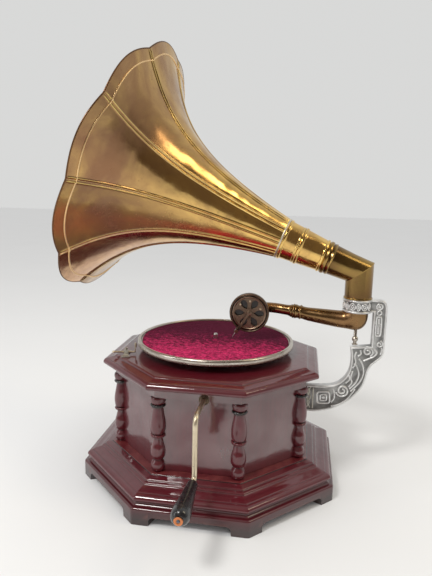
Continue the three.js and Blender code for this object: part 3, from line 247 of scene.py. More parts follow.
def round_angles(count):
    """Angles spread evenly over a full turn, the last short of the first."""
    return np.linspace(0, 2 * np.pi, count, endpoint=False)


def tube_grid(path, radii, sides, reference):
    """Circle carried along a path: point = path + radius (cos a * side + sin a * top)."""
    side, top = sides_of(path, reference)
    angle = round_angles(sides)
    radii = np.broadcast_to(radii, len(path))[:, None, None]
    ring = np.cos(angle)[None, :, None] * side[:, None] + np.sin(angle)[None, :, None] * top[:, None]
    return path[:, None] + radii * ring


def turned_grid(profile, place, axis=UP, sides=48):
    """Profile of (radius, height) turned round an axis: place + height * axis + radius * ring."""
    axis = unit(axis)
    helper = np.array([0.0, 1.0, 0.0]) if abs(axis[2]) > 0.9 else UP
    side = unit(np.cross(helper, axis))
    top = np.cross(axis, side)
    angle = round_angles(sides)
    ring = np.cos(angle)[:, None] * side + np.sin(angle)[:, None] * top
    profile = np.asarray(profile, float)
    radius, height = profile[:, 0], profile[:, 1]
    return np.asarray(place) + height[:, None, None] * axis + radius[:, None, None] * ring[None]


# ---------------------------------------------------------------------------
# Meshes
# ---------------------------------------------------------------------------


def patch(grid, wrap=False, caps="", grain="across", shift=0.0):
    """Quads over a grid of points, as (points, faces, corner UVs). The UV holds metres: its first
    coordinate runs with the grain, across the columns or along the rows of the grid."""
    rows, columns = grid.shape[:2]
    index = np.arange(rows * columns).reshape(rows, columns)
    last = columns if wrap else columns - 1
    left = np.arange(last)
    right = (left + 1) % columns
    lower, upper = index[:-1], index[1:]
    quads = np.stack([lower[:, left], lower[:, right], upper[:, right], upper[:, left]], -1).reshape(-1, 4)

    girth = np.linalg.norm(np.roll(grid, -1, 1) - grid, axis=2)
    widest = girth.sum(1).argmax()
    u = np.r_[0, np.cumsum(girth[widest])][: columns + 1]
    v = distance_along(grid[:, 0] if np.ptp(grid[:, 0], axis=0).max() > 0 else grid[:, columns // 2])
    if grain == "along":
        corner = lambda r, c: np.stack([v[r] + shift, u[c]], -1)
    else:
        corner = lambda r, c: np.stack([u[c] + shift, v[r]], -1)
    row, column = np.meshgrid(np.arange(rows - 1), left, indexing="ij")
    corners = [(row, column), (row, column + 1), (row + 1, column + 1), (row + 1, column)]
    uvs = np.stack([corner(r.ravel(), c.ravel()) for r, c in corners], 1).reshape(-1, 2)

    points = grid.reshape(-1, 3)
    faces = [face.tolist() for face in quads]
    for cap in caps.split():
        rim = index[0] if cap == "first" else index[-1]
        middle = points[rim] - points[rim].mean(0)
        flat = np.argsort(np.ptp(middle, axis=0))[::-1][:2]
        faces.append((rim[::-1] if cap == "first" else rim).tolist())
        cap_uv = (middle[::-1] if cap == "first" else middle)[:, flat]
        uvs = np.vstack([uvs, cap_uv + [shift, 0]])
    return points, faces, uvs


def joined(patches):
    """Several patches as one."""
    points, faces, uvs, offset = [], [], [], 0
    for patch_points, patch_faces, patch_uvs in patches:
        points.append(patch_points)
        faces += [[corner + offset for corner in face] for face in patch_faces]
        uvs.append(patch_uvs)
        offset += len(patch_points)
    return np.vstack(points), faces, np.vstack(uvs)


def mark_high_spots(mesh):
    """Writes the attribute "proud": for each point the mean, over its edges, of how far its normal
    leans along the edge towards it. It is above nought on ridges and below nought in hollows."""
    count = len(mesh.vertices)
    place, normal = np.empty(count * 3), np.empty(count * 3)
    mesh.vertices.foreach_get("co", place)
    mesh.vertices.foreach_get("normal", normal)
    place, normal = place.reshape(-1, 3), normal.reshape(-1, 3)
    ends = np.empty(len(mesh.edges) * 2, np.int32)
    mesh.edges.foreach_get("vertices", ends)
    a, b = ends.reshape(-1, 2).T
    step = unit(place[a] - place[b] + 1e-12)
    total = np.bincount(a, (normal[a] * step).sum(1), count) - np.bincount(b, (normal[b] * step).sum(1), count)
    valence = np.bincount(ends, minlength=count)
    proud = mesh.attributes.new("proud", "FLOAT", "POINT")
    proud.data.foreach_set("value", (total / np.maximum(valence, 1)).astype(np.float32))


def merged(mesh):
    """The mesh for editing, with its doubled points merged."""
    clean = bmesh.new()
    clean.from_mesh(mesh)
    bmesh.ops.remove_doubles(clean, verts=clean.verts, dist=1e-6)
    return clean


def make_piece(name, patches, look, body, replaces=(), crease=35.0, bevel=0.0):
    """One named piece from its patches: doubles merged, normals outwards, edges over the crease
    angle kept sharp, finish given by its name, riding on its body."""
    points, faces, uvs = joined(patches)
    mesh = bpy.data.meshes.new(name)
    mesh.from_pydata(points.tolist(), [], faces)
    mesh.uv_layers.new(name="length").data.foreach_set("uv", uvs.astype(np.float32).ravel())
    clean = merged(mesh)
    bmesh.ops.recalc_face_normals(clean, faces=clean.faces)
    clean.to_mesh(mesh)
    clean.free()
    return finish_piece(name, mesh, look, body, replaces, crease, bevel)


def give_finish(mesh, look):
    mesh.materials.clear()
    mesh.materials.append(finish(look))


def finish_piece(name, mesh, look, body, replaces=(), crease=35.0, bevel=0.0):
    """Shading, high spots, finish, bevel and place in the frame of a finished mesh."""
    mesh.polygons.foreach_set("use_smooth", np.ones(len(mesh.polygons), bool))
    mesh.set_sharp_from_angle(angle=np.radians(crease))
    mark_high_spots(mesh)
    give_finish(mesh, look)
    piece = bpy.data.objects.new(name, mesh)
    bpy.context.scene.collection.objects.link(piece)
    if bevel:
        rounding = piece.modifiers.new("Soft edges", "BEVEL")
        rounding.width = bevel
        rounding.segments = 2
        rounding.limit_method = "ANGLE"
        rounding.angle_limit = np.radians(crease)
    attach(piece, body)
    if replaces:
        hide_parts(*replaces)
    return piece


def copy_node(name, node, look, body, crease=35.0, bevel=0.0):
    """A merged copy of a CAD node that stands for it, with its flat faces joined."""
    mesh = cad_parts[node].data.copy()
    mesh.name = name
    clean = merged(mesh)
    bmesh.ops.dissolve_limit(clean, angle_limit=np.radians(1), verts=clean.verts, edges=clean.edges)
    clean.to_mesh(mesh)
    clean.free()
    finish_piece(name, mesh, look, body, (node,), crease, bevel)


def dress(node, look):
    """Gives a CAD node that stays its finish."""
    give_finish(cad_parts[node].data, look)


# ---------------------------------------------------------------------------
# Materials
# ---------------------------------------------------------------------------


class Nodes:
    """A node tree being filled: each call adds one node and returns its output."""

    def __init__(self, tree):
        self.tree = tree

    def node(self, kind, inputs, output=0, **kinds):
        made = self.tree.nodes.new("ShaderNode" + kind)
        for key, value in kinds.items():
            setattr(made, key, value)
        for key, value in inputs.items():
            if isinstance(value, bpy.types.NodeSocket):
                self.tree.links.new(value, made.inputs[key])
            else:
                made.inputs[key].default_value = value
        return made.outputs[output]

    def span(self, value, low, high, to_low=0.0, to_high=1.0):
        """The value brought from one range to another, held at its ends."""
        return self.node("MapRange", {
            "Value": value, "From Min": low, "From Max": high, "To Min": to_low, "To Max": to_high,
        })

    def plus(self, a, b):
        return self.node("Math", {0: a, 1: b}, operation="ADD")

    def times(self, a, b):
        return self.node("Math", {0: a, 1: b}, operation="MULTIPLY")

    def greater(self, a, b):
        return self.node("Math", {0: a, 1: b}, operation="MAXIMUM")

    def mix(self, amount, a, b):
        """Colour a where the amount is 0, colour b where it is 1."""
        a, b = (tuple(c) + (1,) if not isinstance(c, bpy.types.NodeSocket) else c for c in (a, b))
        return self.node("Mix", {0: amount, 6: a, 7: b}, 2, data_type="RGBA")

    def part(self, vector, axis):
        """One coordinate of a vector."""
        return self.node("SeparateXYZ", {"Vector": vector}, axis)


class Finish(Nodes):
    """A material being made round its shader."""

    def __init__(self, name):
        self.material = bpy.data.materials.new(name)
        self.material.use_nodes = True
        super().__init__(self.material.node_tree)
        self.shader = self.tree.nodes["Principled BSDF"]
        self.places = self.tree.nodes.new("ShaderNodeTexCoord")

    def at(self, stretch=(1, 1, 1), uv=False, turn=(0, 0, 0)):
        """Object coordinates, or the piece's UV in metres, scaled along each axis."""
        source = self.places.outputs["UV" if uv else "Object"]
        return self.node("Mapping", {"Vector": source, "Scale": stretch, "Rotation": turn})

    def noise(self, vector, scale, detail=4.0, roughness=0.55, distortion=0.0):
        return self.node("TexNoise", {
            "Vector": vector, "Scale": scale, "Detail": detail, "Roughness": roughness,
            "Distortion": distortion,
        }, "Fac")

    def cells(self, vector, scale):
        return self.node("TexVoronoi", {"Vector": vector, "Scale": scale}, "Distance")

    def proud(self):
        """How far the surface stands above its surroundings, from the piece's own attribute."""
        return self.node("Attribute", {}, "Fac", attribute_name="proud")

    def bump(self, height, distance, strength=1.0, below=None):
        """Bump whose height is in metres when the height value runs from 0 to 1."""
        inputs = {"Height": height, "Distance": distance, "Strength": strength}
        if below is not None:
            inputs["Normal"] = below
        return self.node("Bump", inputs)

    def set(self, **inputs):
        for key, value in inputs.items():
            socket = self.shader.inputs[key.replace("_", " ")]
            if isinstance(value, bpy.types.NodeSocket):
                self.tree.links.new(value, socket)
            else:
                socket.default_value = tuple(value) + (1,) if hasattr(value, "__len__") else value
        return self.material


def lacquered_wood(name, uv=True, coat_index=1.7, coat_roughness=0.06, dulled=0.85):
    """Stained wood under thick glossy lacquer: soft clouds and faint streaks along the grain, thin
    colour on rubbed edges, painted shade as dark lines in the hollows and as darkening near the
    floor, and a slow waviness in the coat. Without UVs the grain stands upright. The dulled share
    is the coat that is left where the clouds are dark."""
    look = settings("cabinet")
    made = Finish(name)
    along = made.at((1, 14, 14), uv) if uv else made.at((9, 9, 1))
    place = made.at(uv=uv)
    streaks = made.noise(along, 16, 4, 0.55, 0.5)
    clouds = made.noise(place, 9, 4, 0.6)
    tone = made.mix(made.span(streaks, 0.42, 0.70, 0.0, look.figure), look.lacquer, look.grain)
    tone = made.mix(made.span(clouds, 0.40, 0.70, 0.0, 0.40), tone, look.glow)
    proud = made.proud()
    scuffs = made.noise(place, 70, 5, 0.7)
    rubbed = made.times(made.span(proud, 0.14, 0.42), made.span(scuffs, 0.40, 0.58, 0.2, 1.0))
    tone = made.mix(made.span(rubbed, 0, 1, 0, 0.8), tone, look.wear)
    # Painted shade: near black in the hollows, where the mouldings shade themselves.
    tone = made.mix(made.span(proud, -0.03, -0.20, 0.0, 0.95), tone, (0.004, 0.002, 0.002))
    # Painted shade: darker below 30 mm, where the feet face down into shade.
    height = made.part(made.at(), "Z")
    tone = made.mix(made.span(height, 0.030, 0.008, 0.0, 0.9), tone, (0.008, 0.005, 0.005))
    coat = made.bump(made.noise(place, 38, 2), 0.0009, 0.45)
    dust = made.noise(place, 800, 2)
    return made.set(
        Base_Color=tone, Roughness=made.span(scuffs, 0.3, 0.7, 0.40, 0.55),
        Normal=made.bump(streaks, 0.0002, 0.2, coat),
        Coat_Weight=made.span(clouds, 0.34, 0.62, look.gloss * dulled, look.gloss),
        Coat_Roughness=coat_roughness, Coat_IOR=coat_index,
        Coat_Normal=made.bump(dust, 0.00003, 0.3, coat), Specular_IOR_Level=0.3,
    )


def aged_brass(name, bare, patina, roughness, tarnish=0.75, waviness=0.0, lip_tarnish_and_reflection=None, skin=1.0):
    """Old polished brass: blotches of brown tarnish, clean ridges, dark hollows, fine scratches, and
    the slow waves of sheet beaten by hand, in metres. The lip colour gathers along the horn's axis
    towards its mouth: partly brown tarnish, partly painted reflection, dark for the reflected cabinet
    and room and pale pink for the reflected floor; there only the skin's share still shines as metal."""
    made = Finish(name)
    place = made.at()
    clean = [min(1.0, c * 1.35) for c in bare]
    blotches = made.noise(place, 11, 5, 0.6, 0.8)
    metal = 1.0
    # Lip colour: brown tarnish and painted reflection, dark for the reflected cabinet and room, pale pink for the
    # reflected floor.
    if lip_tarnish_and_reflection:
        along = made.node("VectorMath", {0: place, 1: HORN_WAY}, "Value", operation="DOT_PRODUCT")
        none, full = ((to_row(HORN_START) + at * MM * HORN_WAY) @ HORN_WAY for at in LIP_TARNISH_AND_REFLECTION_RUN)
        gathered = made.times(made.span(along, none, full), made.span(blotches, 0.30, 0.62, 0.45, 1.0))
        gathered = made.times(gathered, made.span(made.part(place, "X"), -0.02, -0.15, 0.35, 1.0))
        bare = made.mix(gathered, bare, lip_tarnish_and_reflection)
        metal = made.span(gathered, 0.0, 1.0, 1.0, skin)
    specks = made.noise(place, 130, 4, 0.7)
    spots = made.cells(place, 75)
    worn = made.proud()
    tone = made.mix(made.span(blotches, 0.38, 0.66, 0.0, tarnish), bare, patina)
    tone = made.mix(made.span(specks, 0.56, 0.72, 0.0, 0.35), tone, patina)
    tone = made.mix(made.span(spots, 0.12, 0.03, 0.0, 0.35), tone, [c * 0.35 for c in patina])
    tone = made.mix(made.span(worn, 0.04, 0.22, 0.0, 0.85), tone, clean)
    tone = made.mix(made.span(worn, -0.04, -0.22, 0.0, 0.85), tone, [c * 0.35 for c in patina])
    scratches = made.noise(made.at((3, 60, 60), turn=(0.3, 0.5, 0.2)), 18, 3, 0.8)
    dull = made.plus(made.span(blotches, 0.35, 0.70, *roughness), made.span(specks, 0.4, 0.7, 0.0, 0.08))
    beaten = made.bump(made.noise(place, 13, 2), waviness, 1.0 if waviness else 0.0)
    return made.set(
        Base_Color=tone, Metallic=metal, Roughness=dull,
        Normal=made.bump(scratches, 0.00005, 0.3, made.bump(specks, 0.00008, 0.2, beaten)),
    )


def washed_metal(name, high, hollow, roughness, wash=0.25, metallic=1.0):
    """Cast metal with a dark wash: bright on the ridges, dark in the hollows, softly pitted. Flat
    places take the wash's share of the hollows' colour."""
    made = Finish(name)
    flat = [dark * wash + light * (1 - wash) for dark, light in zip(hollow, high)]
    place = made.at()
    pits = made.noise(place, 420, 4, 0.65)
    clouds = made.noise(place, 45, 4, 0.6)
    level = made.plus(made.proud(), made.span(clouds, 0.3, 0.7, -0.10, 0.10))
    tone = made.mix(made.span(level, -0.16, 0.10), hollow, flat)
    tone = made.mix(made.span(level, 0.06, 0.30), tone, high)
    tone = made.mix(made.span(pits, 0.62, 0.75, 0.0, 0.5), tone, hollow)
    return made.set(
        Base_Color=tone, Metallic=metallic,
        Roughness=made.span(clouds, 0.3, 0.7, roughness - 0.06, roughness + 0.12),
        Normal=made.bump(pits, 0.00012, 0.4),
    )


def plated_metal(name, tint, tarnish, roughness=0.22):
    """Worn plating: cloudy tint, grey specks of tarnish and hairline scratches."""
    made = Finish(name)
    place = made.at()
    clouds = made.noise(place, 35, 5, 0.6)
    specks = made.noise(place, 350, 3, 0.7)
    tone = made.mix(made.span(clouds, 0.35, 0.70, 0.0, 0.55), tint, tarnish)
    tone = made.mix(made.span(specks, 0.58, 0.74, 0.0, 0.6), tone, [c * 0.5 for c in tarnish])
    tone = made.mix(made.span(made.proud(), -0.06, -0.30, 0.0, 0.75), tone, [c * 0.3 for c in tarnish])
    hair = made.noise(place, 200, 2, 0.8)
    return made.set(
        Base_Color=tone, Metallic=1.0,
        Roughness=made.span(clouds, 0.3, 0.7, roughness, roughness + 0.16),
        Normal=made.bump(hair, 0.00004, 0.4),
    )


def crushed_velvet():
    """Short pile lying this way and that: bright and dark tufts, painted pale pink glints on the tufts, and painted
    shadow of the horn that darkens it towards the back.
    """
    look = settings("turntable")
    made = Finish("crushed_velvet")
    place = made.at()
    nap = made.noise(place, 30, 4, 0.6, 0.8)
    tufts = made.noise(place, 150, 5, 0.85)
    flecks = made.noise(place, 620, 3, 0.8)
    middle = float(node_middle("platter_felt")[1])
    # Painted shadow: the horn's shadow over the back half of the velvet, as a gradient along Y.
    painted_horn_shadow = made.span(made.part(place, "Y"), middle - 0.070, middle + 0.060, 0.0, 0.95)
    lean = made.plus(made.span(tufts, 0.40, 0.60, 0.0, 0.85), made.span(nap, 0.36, 0.66, 0.0, 0.25))
    # From here the lean also carries the painted shadow of the horn.
    lean = made.plus(lean, painted_horn_shadow)
    tone = made.mix(made.span(lean, 0.15, 1.05), look.bright_pile, look.dark_pile)
    glints = made.times(made.span(flecks, 0.56, 0.68, 0.0, 0.65), made.span(lean, 1.0, 0.3))
    tone = made.mix(glints, tone, (0.860, 0.240, 0.400))
    deep = made.bump(tufts, 0.0012, 0.9, made.bump(nap, 0.0008, 0.4))
    return made.set(
        Base_Color=tone, Roughness=0.95, Specular_IOR_Level=0.1,
        Sheen_Weight=0.28, Sheen_Roughness=0.4, Sheen_Tint=(1.0, 0.12, 0.36),
        Normal=made.bump(flecks, 0.0005, 0.8, deep),
    )


def black_lacquer():
    """Black paint on turned wood, scuffed grey where hands and knocks reach it."""
    made = Finish("black_lacquer")
    place = made.at()
    scuffs = made.noise(made.at((90, 20, 90)), 3, 5, 0.7)
    chips = made.noise(place, 210, 4, 0.7)
    rub = made.times(made.span(made.proud(), 0.05, 0.35), made.span(chips, 0.45, 0.65))
    tone = made.mix(made.span(scuffs, 0.52, 0.75, 0.0, 0.5), (0.010, 0.010, 0.011), (0.060, 0.060, 0.062))
    tone = made.mix(rub, tone, (0.20, 0.17, 0.14))
    return made.set(
        Base_Color=tone, Roughness=made.span(scuffs, 0.3, 0.7, 0.18, 0.40), Coat_Weight=0.6,
        Coat_Roughness=0.12, Normal=made.bump(chips, 0.00015, 0.35),
    )


def shade_darkened_mica():
    """Thin mica painted dark for the shade inside the sound box: glassy, with faint flakes inside."""
    made = Finish("shade_darkened_mica")
    flakes = made.cells(made.at((1, 4, 1)), 90)
    tone = made.mix(made.span(flakes, 0.1, 0.6), (0.010, 0.008, 0.006), (0.024, 0.018, 0.014))
    return made.set(Base_Color=tone, Roughness=0.35, Coat_Weight=0.1, Normal=made.bump(flakes, 0.0001, 0.3))


def brake_leather():
    """Small leather pad: brown, creased, matt."""
    made = Finish("brake_leather")
    grain = made.cells(made.at(), 900)
    tone = made.mix(made.noise(made.at(), 60), (0.170, 0.080, 0.035), (0.080, 0.036, 0.018))
    return made.set(Base_Color=tone, Roughness=0.78, Normal=made.bump(grain, 0.0003, 0.5))


def toned(shade, share):
    """A colour made darker or lighter by a share."""
    return [c * share for c in shade]


finishes = {}


def finish(name):
    """The named finish, made when it is first asked for."""
    horn, cast, table = settings("horn"), settings("casting"), settings("turntable")
    recipes = {
        "mahogany": (lacquered_wood, "lacquered_mahogany"),
        "board_mahogany": (lacquered_wood, "lacquered_boards", False, 2.3, 0.12, 0.6),
        "horn_brass": (aged_brass, "horn_brass", horn.brass, horn.patina, (0.09, 0.22), 0.6, 0.004, horn.lip_tarnish_and_reflection),
        # Painted reflection: a dark, less metallic copy of the horn brass for the petal that mirrors the cabinet, and a
        # pink copy for the petal that mirrors the floor.
        "shaded_brass": (aged_brass, "shaded_brass", horn.brass, horn.patina, (0.14, 0.28), 0.7, 0.004,
                         (0.100, 0.034, 0.026), 0.30),
        "rosy_brass": (aged_brass, "rosy_brass", horn.brass, horn.patina, (0.12, 0.26), 0.3, 0.004,
                       (0.720, 0.440, 0.320)),
        "elbow_brass": (aged_brass, "elbow_brass", toned(horn.brass, 0.34), horn.patina, (0.16, 0.30), 0.7),
        "wire_brass": (aged_brass, "wire_brass", horn.wire, horn.patina, (0.30, 0.42), 0.4),
        "dark_brass": (aged_brass, "dark_brass", toned(horn.patina, 0.45), toned(horn.patina, 0.2), (0.25, 0.40)),
        "arm_brass": (aged_brass, "arm_brass", horn.arm_brass, horn.patina, (0.14, 0.30), 0.6),
        "gear_brass": (aged_brass, "gear_brass", (0.60, 0.42, 0.16), (0.34, 0.22, 0.08), (0.22, 0.36), 0.5),
        "copper": (aged_brass, "washer_copper", (0.62, 0.23, 0.10), (0.30, 0.11, 0.05), (0.25, 0.40), 0.4),
        "cast_metal": (washed_metal, "washed_casting", cast.silver, toned(cast.recess, 0.68), 0.36, 0.42, 0.75),
        "bronze": (washed_metal, "browned_bronze", toned(cast.bronze, 1.1), toned(cast.bronze, 0.2), 0.34),
        "light_bronze": (washed_metal, "rubbed_bronze", toned(cast.bronze, 1.7), toned(cast.bronze, 0.4), 0.36),
        "nickel": (plated_metal, "worn_nickel", table.plating, (0.40, 0.34, 0.28)),
        "cream_nickel": (plated_metal, "cream_nickel", (0.80, 0.70, 0.52), (0.62, 0.52, 0.36), 0.30),
        "silver_nickel": (plated_metal, "silver_nickel", (0.66, 0.64, 0.58), (0.34, 0.31, 0.25), 0.40),
        "solder": (plated_metal, "pale_solder", (0.78, 0.72, 0.60), (0.50, 0.42, 0.30), 0.34),
        "steel": (plated_metal, "bright_steel", (0.56, 0.56, 0.55), (0.30, 0.28, 0.26), 0.26),
        "spring_steel": (plated_metal, "blued_spring_steel", (0.20, 0.22, 0.27), (0.10, 0.10, 0.11), 0.30),
        "motor_steel": (plated_metal, "oiled_motor_steel", (0.40, 0.39, 0.37), (0.22, 0.19, 0.16), 0.34),
        "velvet": (crushed_velvet,),
        "ebonised": (black_lacquer,),
        # Mica painted dark for the shade inside the sound box.
        "mica": (shade_darkened_mica,),
        "leather": (brake_leather,),
    }
    if name not in finishes:
        maker, *values = recipes[name]
        finishes[name] = maker(*values)
    return finishes[name]


# ---------------------------------------------------------------------------
# Cabinet
# ---------------------------------------------------------------------------


def octagon_moulding(profile, rounding, columns=(), heights=None, closed=False):
    """Moulding round an octagon. Each side carries the profile of (apothem, height) millimetres
    along its own line; near both ends the line leaves the straight on a circle of the given
    rounding, through half an eighth of a turn, so that neighbours meet on the mitre. An open
    profile gets a flat cap below and above."""
    profile = np.asarray(profile, float)
    apothem = profile[:, :1]
    bends = np.linspace(1 - rounding / profile[:, 0].max(), 1, 6)
    columns = np.unique(np.r_[-bends, np.asarray(columns, float), bends])
    half, start = apothem * np.tan(HALF_EIGHTH), (apothem - rounding) * np.tan(HALF_EIGHTH)
    flat = half * columns[None]
    turn = np.clip((np.abs(flat) - start) / (half - start), 0, 1) * HALF_EIGHTH
    x = np.where(np.abs(flat) < start, flat, np.sign(flat) * (start + rounding * np.sin(turn)))
    y = -(apothem - rounding * (1 - np.cos(turn)))
    z = np.broadcast_to(profile[:, 1:], x.shape) if heights is None else heights(profile, columns)
    grids = []
    for side in range(8):
        c, s = np.cos(side * EIGHTH), np.sin(side * EIGHTH)
        grids.append(to_row(np.stack([x * c - y * s, x * s + y * c, z], -1)))
    patches = [patch(grid, grain="across", shift=side * 0.83) for side, grid in enumerate(grids)]
    for row in () if closed else (0, -1):
        ring = np.vstack([grid[row, :-1] for grid in grids])
        patches.append((ring, [list(range(len(ring)))], ring[:, :2].copy()))
    return patches


class GRAMOPHONE_OT_feet(bpy.types.Operator):
    """Ring of bracket feet: on every side a shallow arch with upright ends and a quarter round at
    each upper corner, cut through a low frame with rounded corners and a rounded top edge"""

    bl_idname = "gramophone.feet"
    bl_label = "Feet"

    def execute(self, context):
        low, high = node_box("foot_frame")
        outer = (high[1] - low[1]) / 2 / MM
        inner = outer - 18.0
        top = (high[2] - low[2]) / MM
        half_arch, rise, corner = 58.0, 12.8, 7.0
        side = outer * np.tan(HALF_EIGHTH)

        def heights(profile, columns):
            beyond = np.abs(columns) * side - half_arch
            inside = np.clip(-beyond / corner, 0, 1)
            floor = rise - corner + corner * np.sqrt(1 - (1 - inside) ** 2)
            floor = np.where(beyond > 0.01, 0.0, floor)[None]
            return np.where(profile[:, 1:] < 0.5, floor, profile[:, 1:])

        quarter = np.linspace(0, np.pi / 2, 9)
        edge = np.r_[half_arch + 0.05, half_arch - corner * (1 - np.cos(quarter)), 20.0] / side
        nose = arc((outer - 3.2, top - 3.2), 3.2, 0, 90, 8)
        profile = chain([[inner, 0], [outer, 0]], nose, [[inner, top]])
        closed = np.vstack([profile, profile[:1]])
        rounding = settings("cabinet").foot_rounding / MM
        make_piece("feet", octagon_moulding(closed, rounding, np.r_[-edge, edge], heights, True),
                   "mahogany", "cabinet", ("foot_frame",),
                   bevel=settings("cabinet").edge_rounding)
        return {"FINISHED"}


class GRAMOPHONE_OT_plinth(bpy.types.Operator):
    """Moulded plinth: small cove, one large ovolo, a wash and two steps, carried round the octagon"""

    bl_idname = "gramophone.plinth"
    bl_label = "Plinth"

    def execute(self, context):
        low, high = node_box("plinth")
        bottom, top = low[2] / MM, high[2] / MM
        profile = chain(
            [[192.4, bottom]], bezier([192.4, bottom], [189.2, 26.4], [188.4, 29.6], [189.4, 31.2], 7),
            bezier([190.2, 31.6], [194.6, 31.8], [195.2, 38.4], [187.0, 41.0], 14),
            [[185.8, 41.2], [185.0, 41.9]],
            bezier([184.6, 42.2], [181.6, 43.0], [177.0, 44.0], [173.6, 45.6], 8),
            [[172.4, 46.2], [171.7, 46.7]],
            bezier([171.6, 47.0], [171.5, 48.2], [170.9, 48.8], [169.6, 49.0], 5),
            [[167.2, 49.5], [166.6, 49.9]],
            bezier([166.5, 50.2], [166.5, 51.3], [165.8, 52.0], [164.6, 52.2], 5),
            bezier([163.4, 52.4], [160.6, 53.0], [157.4, 53.6], [156.0, 54.0], 4), [[156.0, top]],
        )
        make_piece("plinth_moulding", octagon_moulding(profile, settings("cabinet").moulding_rounding / MM),
                   "mahogany", "cabinet", ("plinth",), crease=40,
                   bevel=settings("cabinet").edge_rounding * 0.4)
        return {"FINISHED"}


class GRAMOPHONE_OT_boards(bpy.types.Operator):
    """Eight plain lacquered side boards and the frieze over them, which are the CAD nodes themselves"""

    bl_idname = "gramophone.boards"
    bl_label = "Side boards and frieze"

    def execute(self, context):
        for node in (*(f"side_panel_{side}" for side in range(1, 9)), "frieze"):
            dress(node, "board_mahogany")
        return {"FINISHED"}


class GRAMOPHONE_OT_deck(bpy.types.Operator):
    """Top board: a thumb moulding, a fillet and a long gentle slope carried round the octagon"""

    bl_idname = "gramophone.deck"
    bl_label = "Deck"

    def execute(self, context):
        low, high = node_box("deck")
        a = (high[1] - low[1]) / 2 / MM
        z, top = low[2] / MM, high[2] / MM
        profile = chain(
            [[a - 2.4, z]], bezier([a - 1.8, z], [a + 0.4, z + 0.6], [a + 0.4, z + 4.4], [a - 1.2, z + 6.2], 9),
            bezier([a - 1.6, z + 6.8], [a - 2.6, z + 8.2], [a - 3.8, z + 8.6], [a - 5.4, z + 8.9], 5),
            bezier([a - 5.8, z + 9.4], [a - 9.0, z + 9.8], [a - 13.0, z + 10.8], [a - 17.0, z + 12.2], 6),
            bezier([a - 17.4, z + 12.7], [a - 18.2, z + 13.8], [a - 19.6, top - 0.1], [a - 22.0, top], 6),
        )
        make_piece("deck_board", octagon_moulding(profile, settings("cabinet").moulding_rounding / MM),
                   "mahogany", "cabinet", ("deck",), crease=40,
                   bevel=settings("cabinet").edge_rounding * 0.6)
        return {"FINISHED"}


# Gap between pieces that sit on each other, and distance of the boards' faces from the axis.
SEAT = 0.3
BOARD_FACE = 142.0


def corner_turned(profile, corner, shift=0.0):
    """A turned piece on a mitred corner of the boards: the profile of (radius, height) millimetres
    goes round only in front of the boards, up to the seat's gap from them, and closes on the corner."""
    outward = -np.pi / 2 + HALF_EIGHTH + corner * EIGHTH
    way = np.array([np.cos(outward), np.sin(outward), 0.0])
    sideways = np.array([-way[1], way[0], 0.0])
    profile = np.asarray(profile, float)
    limit = np.radians(112.5) - np.arcsin(SEAT / profile[:, :1])
    angle = limit * np.linspace(-1, 1, 37)[None]
    ahead, beside = profile[:, :1] * np.cos(angle), profile[:, :1] * np.sin(angle)
    ahead = np.hstack([ahead, np.full_like(limit, SEAT / np.cos(HALF_EIGHTH))])
    beside = np.hstack([beside, np.zeros_like(limit)])
    place = way * BOARD_FACE / np.cos(HALF_EIGHTH)
    grid = place + ahead[..., None] * way + beside[..., None] * sideways + profile[:, 1:, None] * UP
    return patch(to_row(grid), True, "first last", grain="along", shift=shift)


class GRAMOPHONE_OT_columns(bpy.types.Operator):
    """Eight turned corner columns: cup foot, lower belly, waist ring, vase, black ring, bowl cap"""

    bl_idname = "gramophone.columns"
    bl_label = "Columns"

    def execute(self, context):
        low, high = node_box("column_1")
        lower, height = low[2] / MM, (high[2] - low[2]) / MM
        stem = (
            [[7.6, 0.0]],
            spline([[7.8, 0.003], [10.0, 0.030], [10.5, 0.068], [9.6, 0.110], [7.6, 0.140], [7.0, 0.150]], 20),
            [[6.6, 0.152], [6.6, 0.156], [7.4, 0.158]],
            spline([[7.6, 0.160], [10.0, 0.190], [11.2, 0.240], [10.5, 0.310], [8.6, 0.370], [7.2, 0.430],
                    [6.8, 0.460]], 30),
            [[6.6, 0.464], [10.2, 0.467]],
            spline([[10.5, 0.469], [11.3, 0.484], [10.5, 0.499]], 7), [[8.6, 0.502], [8.4, 0.506]],
            spline([[8.8, 0.509], [10.4, 0.530], [11.4, 0.600], [10.9, 0.680], [8.9, 0.780], [7.3, 0.858]], 28),
            [[7.2, 0.870]],
        )
        bead = ([[7.6, 0.871]], spline([[10.4, 0.872], [11.4, 0.887], [10.4, 0.902]], 7), [[7.6, 0.903]])
        cap = ([[7.6, 0.904], [8.6, 0.906]],
               spline([[8.8, 0.908], [10.4, 0.925], [11.2, 0.955], [11.0, 0.985], [10.2, 1.0]], 12), [[9.6, 1.0]])
        radius_and_height = lambda runs: chain(*runs) * [1, height] + [0, lower]
        for corner in range(8):
            wood = [corner_turned(radius_and_height(runs), corner, corner * 0.37) for runs in (stem, cap)]
            make_piece(f"turned_column_{corner + 1}", wood, "mahogany", "cabinet",
                       (f"column_{corner + 1}",), crease=50)
            make_piece(f"column_ring_{corner + 1}", [corner_turned(radius_and_height(bead), corner)],
                       "ebonised", "cabinet", crease=50)
        return {"FINISHED"}


# ---------------------------------------------------------------------------
# Turntable
# ---------------------------------------------------------------------------


